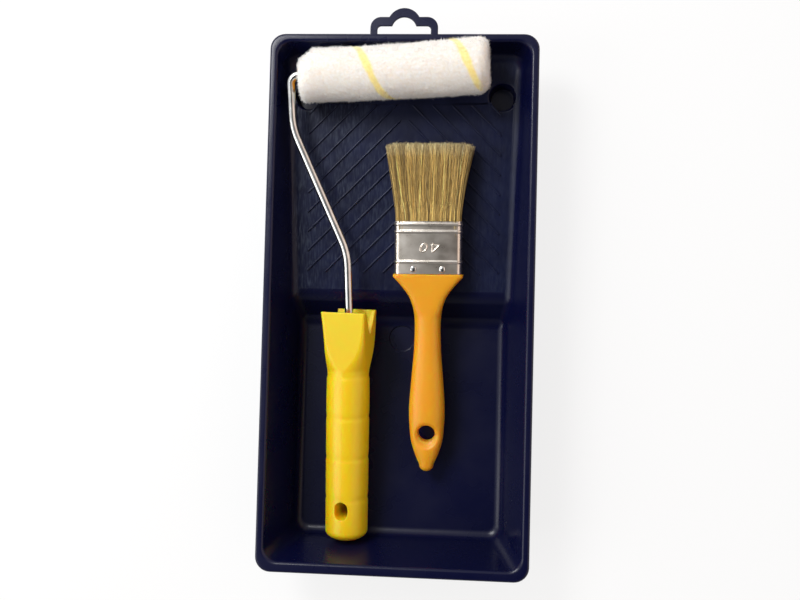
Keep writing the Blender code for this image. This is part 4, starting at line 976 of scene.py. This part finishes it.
# The backing is a skin just under the fibre tips, turned in at both ends and closed at the bore.
rows, columns = BACKING_GRID
along, turn = np.meshgrid(np.linspace(0, 1, rows), np.arange(columns) * 2 * math.pi / columns,
                          indexing="ij")
under, outward = pile_point(along.ravel(), turn.ravel(), BACKING_INSET)
under += outward * BACKING_RIPPLE * waves_in_space(under, RIPPLE_SIZE)[:, :1]
grid = np.arange(rows * columns).reshape(rows, columns)
quads = np.stack([grid[:-1], grid[1:], np.roll(grid[1:], -1, axis=1),
                  np.roll(grid[:-1], -1, axis=1)], axis=-1).reshape(-1, 4)
quads = np.concatenate([quads, np.stack([np.roll(grid[0], -1), np.roll(grid[-1], -1), grid[-1],
                                         grid[0]], axis=-1)])
pile = mesh_from("pile_backing", under, quads, yarn_colours(under))
pile.data.transform(sleeve_place)

tufts = int(PILE_FACE / TUFT_SPACING ** 2)
seed_along, seed_turn = chance.uniform(0, 1, tufts), chance.uniform(0, 2 * math.pi, tufts)
tuft_base, tuft_out = pile_point(seed_along, seed_turn, PILE_DEPTH)
drift = waves_in_space(tuft_base, DRIFT_SIZE)
base = np.repeat(tuft_base, FIBRES_PER_TUFT, axis=0)
out = np.repeat(tuft_out, FIBRES_PER_TUFT, axis=0)
count = len(base)
base = base + chance.normal(0, FIBRE_SCATTER, (count, 3))
tall = (np.repeat(chance.normal(1.0, TUFT_TALL, tufts), FIBRES_PER_TUFT)
        * chance.normal(1, FIBRE_TALL, count))
lean = (np.repeat(DRIFT * drift + chance.normal(0, TUFT_LEAN, (tufts, 3)), FIBRES_PER_TUFT, axis=0)
        + chance.normal(0, FIBRE_LEAN, (count, 3)))
tip = base + out * (PILE_DEPTH * tall)[:, None] + lean
middle = (base + tip) / 2 - lean / 4 + chance.normal(0, FIBRE_CURL, (count, 3))
paths = np.stack([base, middle, tip], axis=1)
widths = FIBRE_RADII * chance.uniform(*FIBRE_THICK, (count, 1))
tint = yarn_colours(base) * chance.uniform(*FIBRE_SHADE, (count, 1))
# Each fibre's colour is darkened towards its root, as painted shade.
tints = np.clip(tint[:, None] * PAINTED_ROOT_SHADE[None, :, None], 0, 1)
pile_pieces = [pile]
for number, part in enumerate(np.array_split(np.arange(count),
                                             math.ceil(count / FIBRES_PER_PIECE))):
    fibres = strands(f"pile_fibres_{number + 1}", paths[part], widths[part], tints[part])
    fibres.data.transform(sleeve_place)
    pile_pieces.append(fibres)


def pile_look(name, dust, most, clump_size, inputs):
    """The yarn's own tint, dusted with a second white in clumps, and soft to light."""
    look, tree, shader = new_material(name, {"Subsurface Weight": 1.0, **inputs})
    tint = add_node(tree, "ShaderNodeAttribute", {"attribute_name": "tint"})
    dusted = add_node(tree, "ShaderNodeMix", {"data_type": "RGBA", "blend_type": "MULTIPLY"},
                      {0: patches(tree, most, 0.0, clump_size, 3), 6: tint.outputs["Color"],
                       7: dust})
    fill_sockets(tree, shader, {"Base Color": dusted.outputs[2]})
    return look, tree, shader, dusted.outputs[2]


# Matt polyester fibres scatter light among themselves, so the pile glows and hides its roots.
yarn, tree, shader, tinted = pile_look("polyester_pile", "#fbf8f3", 0.8, 1.8, {
    "Roughness": 0.85, "Specular IOR Level": 0.25, "Sheen Weight": 0.15, "Sheen Roughness": 0.5,
    "Subsurface Radius": (1.0, 0.90, 0.80), "Subsurface Scale": 0.0004})
through = add_node(tree, "ShaderNodeBsdfTranslucent", inputs={"Color": tinted})
blend_shaders(tree, "Material Output", 0.25, shader, through)

# Deeper in, light has been through many fibres: the same white, spread wide and warmed by them.
matted = pile_look("polyester_pile_roots", "#faf5ee", 1.0, 1.4, {
    "Roughness": 0.9, "Specular IOR Level": 0.1, "Subsurface Radius": (1.0, 0.85, 0.70),
    "Subsurface Scale": 0.0060})[0]

# Only the backing casts a shadow, so that the fibres don't darken each other more than real ones.
for piece in pile_pieces:
    piece.data.materials.append(matted if piece is pile else yarn)
    piece.visible_shadow = piece is pile
    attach(piece, "roller_cover")
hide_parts("nap_sleeve")


# --- Brush bristles -----------------------------------------------------------------------
# The bristles are bleached hog hair: straw brown along the hair, paler at the split tips.
# Two banks are set in resin on either side of a thin wedge, and spread towards the trim.
BRUSH_ON_RAMP = (0.0163, 0.0152, 0.0085)
BRUSH_TURN = 0.5
FERRULE_SIZE = (0.0395, 0.0132)
FERRULE_LENGTH = 0.0308
FERRULE_CORNER = 0.0032
FERRULE_SHEET = 0.00045
WEDGE_HALF = 0.0004
BANK_PLAY = 0.0004
BANK_START = 0.06
BANK_CROWDING = 0.8
BRISTLE_ROOT = 0.0180
BRISTLE_REACH = 0.0452
TRIM_HALF = (0.0240, 0.0046)
TRIM_CROWN = 0.010
TRIM_CORNER_CUT = 0.0016
TRIM_UNEVEN = (0.00065, 0.0006)
HAIRS = 4600
CLUMPS = 150
CLUMP_PULL = (0.045, 0.36)
CLUMP_SHARE = 0.8
CLUMP_SWAY = 0.0007
LOCKS = 300
LOCKS_DEEP = 3
LOCK_SWAY = 0.0017
LOCK_SHADE = (0.06, 0.42)
STRAYS = 60
STRAY_REACH = 0.0022
SIDE_CORNER = 0.86
CORNER_THIN = (0.30, 0.25)
SIDE_START = 0.75
SIDE_BOW = 0.7
FAN_OUT = (1.15, 1.3)
TIP_SCATTER = (0.0010, 0.0002)
HAIR_BOW = 0.0011
BANK_SWELL = 0.0007
HAIR_RADIUS = (0.000085, 0.000155)
HAIR_SHADE = (0.28, 0.04)
# Hairs deep in the bank, near the wedge, are painted darker: painted shade between the hairs.
PAINTED_DEPTH_SHADE = (0.40, 0.68)
LOW_SHARE = 1 / 1.6
TIP_SHARE = 0.12
STOPS = np.array([0.0, 0.30, 0.45, 0.65, 0.88, 1.0])
TAPER = np.array([1.0, 1.0, 1.0, 0.95, 0.85, 0.5])
HAIR_LOW = colour_array("#cbad6a")
HAIR_MID = colour_array("#b89a58")
HAIR_TIP = colour_array("#cfbb8c")

brush_place = (ramp_plane @ Matrix.Translation(BRUSH_ON_RAMP)
               @ Matrix.Rotation(math.radians(BRUSH_TURN), 4, "Z"))
bore_half = [size / 2 - FERRULE_SHEET - BANK_PLAY for size in FERRULE_SIZE]


def add_bank(name, face):
    """The hairs of the front (face 1) or back (-1) bank, gathered in clumps and in locks."""
    across = chance.uniform(-1, 1, HAIRS)
    deep = chance.uniform(BANK_START, 1, HAIRS) ** BANK_CROWDING
    chance.integers(0, CLUMPS, HAIRS)  # isn't used, and only keeps the draws below as they are
    clump_across = chance.uniform(-1, 1, CLUMPS)
    order = np.argsort(clump_across)
    clump = order[np.clip(np.searchsorted(clump_across[order], across), 0, CLUMPS - 1)]
    pull = chance.uniform(*CLUMP_PULL, CLUMPS)[clump]
    sway = chance.normal(0, CLUMP_SWAY, CLUMPS)[clump] * (chance.random(HAIRS) < CLUMP_SHARE)
    gathered = across + (clump_across[clump] - across) * pull
    wide = LOCKS / LOCKS_DEEP
    lock = (np.clip((across + 1) / 2 * wide, 0, wide - 1).astype(int) * LOCKS_DEEP
            + np.clip(deep * LOCKS_DEEP, 0, LOCKS_DEEP - 1).astype(int))
    lock_tip = chance.normal(0, LOCK_SWAY, LOCKS)[lock]
    lock_shade = np.exp(chance.normal(*LOCK_SHADE, LOCKS))[lock]
    reach = (FERRULE_LENGTH + BRISTLE_REACH * (1 - TRIM_CROWN * (1 - across ** 2))
             - TRIM_CORNER_CUT * np.abs(across) ** 7 + chance.normal(0, TRIM_UNEVEN[0], HAIRS)
             - np.abs(chance.normal(0, TRIM_UNEVEN[1], HAIRS)))
    corner = np.clip((np.abs(across) - SIDE_CORNER) / (1 - SIDE_CORNER), 0, 1)
    stray = np.where(np.arange(HAIRS) < STRAYS, chance.uniform(-1, 1, HAIRS), 0.0)
    across[:STRAYS] = np.sign(stray[:STRAYS]) * chance.uniform(0.9, 1.0, STRAYS)
    root = np.stack([across * bore_half[0], np.full(HAIRS, BRISTLE_ROOT),
                     face * (WEDGE_HALF + deep * (bore_half[1] - WEDGE_HALF)
                             * (1 - CORNER_THIN[0] * corner ** 2))], axis=-1)
    tip = np.stack([gathered * TRIM_HALF[0] + sway + lock_tip * (1 - np.abs(across) ** 3)
                    + stray * STRAY_REACH + chance.normal(0, TIP_SCATTER[0], HAIRS), reach,
                    face * deep * TRIM_HALF[1] * (1 - CORNER_THIN[1] * corner ** 2)
                    + chance.normal(0, TIP_SCATTER[1], HAIRS)], axis=-1)
    leave = (FERRULE_LENGTH - BRISTLE_ROOT) / (FERRULE_LENGTH + BRISTLE_REACH - BRISTLE_ROOT)
    bow = chance.normal(0, HAIR_BOW, (HAIRS, 2))
    at_side = np.abs(across) > SIDE_START
    bow[at_side, 0] = -np.sign(across[at_side]) * np.abs(bow[at_side, 0]) * SIDE_BOW
    paths = []
    for stop in STOPS:
        free = max(0.0, (stop - leave) / (1 - leave))
        swell = BANK_SWELL * math.sin(math.pi * min(1.0, free * 1.2)) * deep
        bend = bow * math.sin(math.pi * free)
        place = root + (tip - root) * (free ** FAN_OUT[0], stop, free ** FAN_OUT[1])
        place[:, 0] += bend[:, 0]
        place[:, 2] += face * (swell + np.abs(bend[:, 1]) / 2)
        paths.append(place)
    widths = chance.uniform(*HAIR_RADIUS, (HAIRS, 1)) * TAPER
    # Each hair's tone varies at random by hair, lock and clump, and hairs deeper in the bank are
    # painted darker as painted shade.
    shade = (chance.normal(1.0, HAIR_SHADE[0], (HAIRS, 1, 1)) * lock_shade[:, None, None]
             * chance.normal(1, HAIR_SHADE[1], CLUMPS)[clump][:, None, None]
             * (PAINTED_DEPTH_SHADE[0] + PAINTED_DEPTH_SHADE[1] * deep)[:, None, None])
    run = STOPS[None, :, None]
    tipped = np.clip(1 - (1 - run) / TIP_SHARE, 0, 1)
    tint = (HAIR_LOW * np.clip(1 - run / LOW_SHARE, 0, 1) + HAIR_TIP * tipped
            + HAIR_MID * np.clip(run / LOW_SHARE, 0, 1) * np.clip((1 - run) / TIP_SHARE, 0, 1))
    bank = strands(name, np.stack(paths, axis=1), widths, np.clip(tint * shade, 0.02, 1))
    bank.data.transform(brush_place)
    return bank


# Hog hair is glossy along its length, and its flagged tips scatter light and look paler.
hair, tree, shader = new_material("bleached_hog_bristle", {
    "Roughness": 0.42, "Specular IOR Level": 0.5})
tint = add_node(tree, "ShaderNodeAttribute", {"attribute_name": "tint"})
fill_sockets(tree, shader, {"Base Color": tint.outputs["Color"]})
for name, face, node in (("bristle_hairs_front", 1, "bristles_front"),
                         ("bristle_hairs_back", -1, "bristles_back")):
    bank = add_bank(name, face)
    bank.data.materials.append(hair)
    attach(bank, "brush")
    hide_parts(node)


# --- Ferrule ------------------------------------------------------------------------------
# A band of tinned steel sheet, bent to a flat box and closed at the back. Three beads are
# rolled round it, the width in millimetres is raised on it, and four nails hold it.
BEADS = (0.0290, 0.0247, 0.0070)
BEAD_HALF = 0.0013
BEAD_HEIGHT = 0.00052
BEAD_STEPS = 13
BAND_CROWN = 0.0007
CROWN_STEPS = 16
NUMBER_BEAD = 0.00052
NUMBER_SUNK = 0.00006
NUMBER_PLACE = (0.0012, 0.0153)
ZERO_CENTRE = -0.0037
ZERO_HALF = (0.00185, 0.00230)
ZERO_LEAN = 0.00060
FOUR = {"stem": [(0.00175, 0.0027), (0.00135, 0.0), (0.00125, -0.0025)],
        "bar": [(0.0003, 0.0015), (0.0030, 0.0016), (0.0057, 0.0016)],
        "slope": [(0.0054, 0.0015), (0.0034, -0.0006), (0.0015, -0.0026)]}


def band_ring(y, swell):
    """Ring at y round the band: a flat box with round ends, its broad faces slightly crowned."""
    ring = [(x, z) for x, _, z in box_ring(0, FERRULE_SIZE[0] / 2 + swell,
                                           FERRULE_SIZE[1] / 2 - BAND_CROWN + swell,
                                           FERRULE_CORNER + swell)]
    half = FERRULE_SIZE[0] / 2 - FERRULE_CORNER
    corners = len(ring) // 4
    outline = []
    for quarter in range(4):
        part = ring[quarter * corners:(quarter + 1) * corners]
        outline += part
        if quarter in (0, 2):
            start, end = part[-1], ring[((quarter + 1) * corners) % len(ring)]
            outline += [(start[0] + (end[0] - start[0]) * step / CROWN_STEPS, start[1])
                        for step in range(1, CROWN_STEPS)]
    return [(x, y, z + math.copysign(BAND_CROWN, z) * max(0.0, 1 - (x / half) ** 2))
            for x, z in outline]


def bead_swell(y):
    """How far the beads stand out at a place along the band."""
    return sum(BEAD_HEIGHT * (1 + math.cos(math.pi * (y - bead) / BEAD_HALF)) / 2
               for bead in BEADS if abs(y - bead) < BEAD_HALF)


places = {0.0, FERRULE_LENGTH}
for bead in BEADS:
    places.update(round(bead + BEAD_HALF * step, 6) for step in np.linspace(-1, 1, BEAD_STEPS))
ferrule = loft("ferrule_band", [band_ring(y, bead_swell(y)) for y in sorted(places)
                                if 0 <= y <= FERRULE_LENGTH], capped=False)
use_modifier(ferrule, "SOLIDIFY", thickness=FERRULE_SHEET, offset=-1.0)
smooth(ferrule, 40)


def raised_line(name, points, closed=False):
    """One stroke of the number: a raised round bead."""
    return tube_along(name, [(x, y, 0) for x, y in points], NUMBER_BEAD, 4, closed)


# The number reads from the brush's other end, so here it stands on its head.
number = raised_line("struck_number", [
    (ZERO_CENTRE + ZERO_HALF[0] * math.cos(turn) + ZERO_LEAN * math.sin(turn),
     ZERO_HALF[1] * math.sin(turn)) for turn in np.linspace(0, 2 * math.pi, 33)[:-1]], closed=True)
for label, points in FOUR.items():
    combine(number, raised_line(label, points), "UNION")
number.data.transform(Matrix.Translation((*NUMBER_PLACE, FERRULE_SIZE[1] / 2 - NUMBER_SUNK)))
smooth(number, 50, weighted=False)

# Tin plate is bright but soft: it mirrors the room blurred, and fine rolling lines run across.
tin, tree, shader = new_material("tinned_steel", {"Metallic": 1.0})
two_tones(tree, shader, "#e0d6c8", "#efe7dc", 9, 4)
fill_sockets(tree, shader, {"Roughness": patches(tree, 0.27, 0.33, 9, 4)})
relief(tree, shader, (grain(tree, 0.9, 2, (0.12, 1.0, 1.0)), 0.001, 0.2),
       (grain(tree, 11, 1), 0.06, 0.4))
dress(ferrule, tin)
dress(number, tin)
ferrule.data.transform(brush_place)
number.data.transform(brush_place)
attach(ferrule, "brush")
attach(number, "brush")
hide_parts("ferrule")

# The nails are zinc plated like the wire, with low round heads, two on each broad face.
NAIL_SPACING = 0.0169
NAIL_SETBACK = 0.0028
NAIL_RADIUS = 0.0019
NAIL_HEIGHT = 0.0007
NAIL_CUT = 0.0004
SHANK_RADIUS = 0.0006
SHANK_ENDS = (-0.005, 0.0003)
for label, side, face in (("front_left", -1, 1), ("front_right", 1, 1),
                          ("back_left", -1, -1), ("back_right", 1, -1)):
    bpy.ops.mesh.primitive_uv_sphere_add(segments=32, ring_count=24, radius=NAIL_RADIUS)
    nail = start_piece(f"nail_head_{label}")
    edit(nail, lambda: bpy.ops.mesh.bisect(plane_co=(0, 0, NAIL_CUT), plane_no=(0, 0, 1),
                                           clear_inner=True, use_fill=True))
    edit(nail, lambda: resize((1, 1, NAIL_HEIGHT / NAIL_RADIUS), (0, 0, 0)))
    combine(nail, add_drum("shank", (0, 0), SHANK_RADIUS, *SHANK_ENDS), "UNION")
    smooth(nail, 60)
    seat = Matrix.Translation((side * NAIL_SPACING / 2, NAIL_SETBACK, face * FERRULE_SIZE[1] / 2))
    if face < 0:
        seat = seat @ Matrix.Rotation(math.pi, 4, "X")
    nail.data.transform(brush_place @ seat)
    dress(nail, zinc)
    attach(nail, "brush")
    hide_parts(f"nail_{label}")


# --- Brush handle -------------------------------------------------------------------------
# The handle is moulded in orange polypropylene: a flared shoulder under the ferrule, a slim
# neck, a fuller belly with a dished hanging hole, and a small rounded tip.
TENON_PLAY = 0.0003
TENON_REACH = 0.0135
FLANGE_HALF = (0.0207, 0.0073)
FLANGE_LIP = 0.0019
NECK_START = 0.0250
TIP_START = 0.1140
HANDLE_LENGTH = 0.1181
BELLY_HALF_DEPTH = 0.0069
WIDTH_STATIONS = [(FLANGE_LIP, FLANGE_HALF[0]), (0.0075, 0.01556), (0.0145, 0.01068),
                  (NECK_START, 0.00795), (0.0450, 0.00805), (0.0600, 0.00925), (0.0790, 0.01060),
                  (0.0900, 0.01040), (0.1000, 0.00930), (0.1080, 0.00685), (TIP_START, 0.00430)]
DEPTH_STATIONS = [(FLANGE_LIP, FLANGE_HALF[1]), (NECK_START, 0.0059), (0.0450, 0.0059),
                  (0.0830, BELLY_HALF_DEPTH), (0.1000, 0.0058), (TIP_START, 0.0037)]
BOXY = 7
OVAL = 2.15
BOXY_GAIN = 4.8
HANDLE_STEPS = 110
HOLE_RADIUS = 0.0049
HOLE_SETBACK = 0.0234
DISH_HALF = (0.0078, 0.0084)
DISH_SHIFT = 0.0016
DISH_DEPTH = 0.0036
DISH_FLAT = 0.50
HANDLE_EDGE_ROUND = 0.0005


def smooth_through(stations, place):
    """A smooth curve through (place, value) stations."""
    places = [station[0] for station in stations]
    index = max(1, min(len(places) - 1, int(np.searchsorted(places, place))))
    (x0, y0), (x1, y1) = stations[index - 1], stations[index]
    slopes = []
    for centre in (index - 1, index):
        before, after = stations[max(0, centre - 1)], stations[min(len(places) - 1, centre + 1)]
        slopes.append((after[1] - before[1]) / (after[0] - before[0]))
    t = (place - x0) / (x1 - x0)
    rise = (2 * t ** 3 - 3 * t ** 2 + 1) * y0 + (3 * t ** 2 - 2 * t ** 3) * y1
    return rise + (x1 - x0) * ((t ** 3 - 2 * t ** 2 + t) * slopes[0]
                               + (t ** 3 - t ** 2) * slopes[1])


def oval_ring(y, half_width, half_depth, power, steps=96):
    """Ring at y that is boxy for a high power and an ellipse for a power of 2."""
    ring = []
    for step in range(steps):
        turn = 2 * math.pi * (step + 0.5) / steps
        x, z = (math.copysign(abs(part) ** (2 / power), part)
                for part in (math.cos(turn), math.sin(turn)))
        ring.append((half_width * x, y, half_depth * z))
    return ring


tenon_half = (FERRULE_SIZE[0] / 2 - FERRULE_SHEET - TENON_PLAY,
              FERRULE_SIZE[1] / 2 - FERRULE_SHEET - BAND_CROWN)
rings = [oval_ring(TENON_REACH, *tenon_half, BOXY), oval_ring(-TENON_PLAY, *tenon_half, BOXY),
         oval_ring(-TENON_PLAY, *FLANGE_HALF, BOXY)]
for place in np.linspace(FLANGE_LIP, TIP_START, HANDLE_STEPS):
    boxy = max(0.0, 1 - place / NECK_START) ** 0.7
    rings.append(oval_ring(-place, smooth_through(WIDTH_STATIONS, place),
                           smooth_through(DEPTH_STATIONS, place), OVAL + BOXY_GAIN * boxy))
for swing in np.radians(np.linspace(8, 84, 12)):
    rings.append(oval_ring(-TIP_START - (HANDLE_LENGTH - TIP_START) * math.sin(swing),
                           WIDTH_STATIONS[-1][1] * math.cos(swing),
                           DEPTH_STATIONS[-1][1] * math.cos(swing), OVAL))
handle = loft("brush_grip", rings)
hole_y = HOLE_SETBACK - HANDLE_LENGTH
for vertex in handle.data.vertices:
    out = math.hypot(vertex.co.x / DISH_HALF[0], (vertex.co.y - hole_y + DISH_SHIFT) / DISH_HALF[1])
    share = min(1.0, max(0.0, (1 - out) / (1 - DISH_FLAT)))
    vertex.co.z *= 1 - DISH_DEPTH / BELLY_HALF_DEPTH * share * share * (3 - 2 * share)
combine(handle, add_drum("hang_hole", (0, hole_y), HOLE_RADIUS, -CUT_THROUGH, CUT_THROUGH),
        "DIFFERENCE")
soften(handle, HANDLE_EDGE_ROUND, 35)
smooth(handle, 40)
handle.data.transform(brush_place)

# Orange polypropylene with a soft moulded gloss, the same stock as the roller's but redder.
dress(handle, coloured_polypropylene("orange_polypropylene", "#e3a015", 0.42, 12, 0.08, 0.006))
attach(handle, "brush")
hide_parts("brush_handle")


# --- Core, bearings and inner parts -------------------------------------------------------
# The pile is bonded to a tube of plastic, which turns on two moulded bearings; a push-on cap
# holds it on the axle. In the ferrule, resin sets the hairs and a wedge of card parts them.
CORE_SETBACK = 0.0022
CORE_NEAR_END = 0.020

# Orange polystyrene straight from the mould: an even satin with faint swirls in its colour.
moulded, tree, shader = new_material("orange_moulded_polystyrene", {"Roughness": 0.40})
two_tones(tree, shader, "#d98a14", "#e89a1c", 5)
relief(tree, shader, (grain(tree, 0.6), 0.01, 0.5))

# The pile stands out past the tube's near end, so tube and bearing sit a little way inside it.
back = sleeve_place.inverted()
for node in ("core_tube", "inner_bearing"):
    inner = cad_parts[node].copy()
    inner.data = inner.data.copy()
    inner.name = f"{node}_moulded"
    bpy.context.scene.collection.objects.link(inner)
    inner.parent = None
    inner.matrix_world = Matrix.Identity(4)
    pick(inner)
    bpy.ops.object.mode_set(mode="EDIT")
    bpy.ops.mesh.select_all(action="SELECT")
    bpy.ops.mesh.remove_doubles(threshold=1e-6)
    bpy.ops.object.mode_set(mode="OBJECT")
    for vertex in inner.data.vertices:
        at_near_end = node == "inner_bearing" or (back @ vertex.co).x < CORE_NEAR_END
        setback = CORE_SETBACK if at_near_end else -CORE_SETBACK / 2
        vertex.co += sleeve_place.to_3x3() @ Vector((setback, 0, 0))
    smooth(inner, 35, weighted=False)
    dress(inner, moulded)
    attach(inner, "roller_cover")
    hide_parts(node)

# The cap is plain white nylon, slightly waxy.
nylon, tree, shader = new_material("white_nylon", {"Base Color": "#e6e3da"})
fill_sockets(tree, shader, {"Roughness": patches(tree, 0.35, 0.5, 3)})
relief(tree, shader, (grain(tree, 3), 0.02, 0.4))

# Cast resin between the hairs is dark amber and glossy where it wicked up.
resin, tree, shader = new_material("amber_setting_resin", {"Roughness": 0.30})
two_tones(tree, shader, "#4a2f16", "#7a5426", 0.7, 3)
relief(tree, shader, (grain(tree, 0.7, 3), 0.15, 0.6))

# The wedge between the banks is grey pressed card with short fibres in it.
card, tree, shader = new_material("pressed_card", {"Roughness": 0.85})
fibrous = (0.8, 4, (0.3, 1.0, 1.0))
two_tones(tree, shader, "#8b8172", "#b0a692", *fibrous)
relief(tree, shader, (grain(tree, *fibrous), 0.05, 0.6))

for node, look in (("outer_bearing", moulded), ("end_retainer", nylon), ("resin_set", resin),
                   ("spacer_plug", card)):
    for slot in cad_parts[node].material_slots:
        slot.material = look
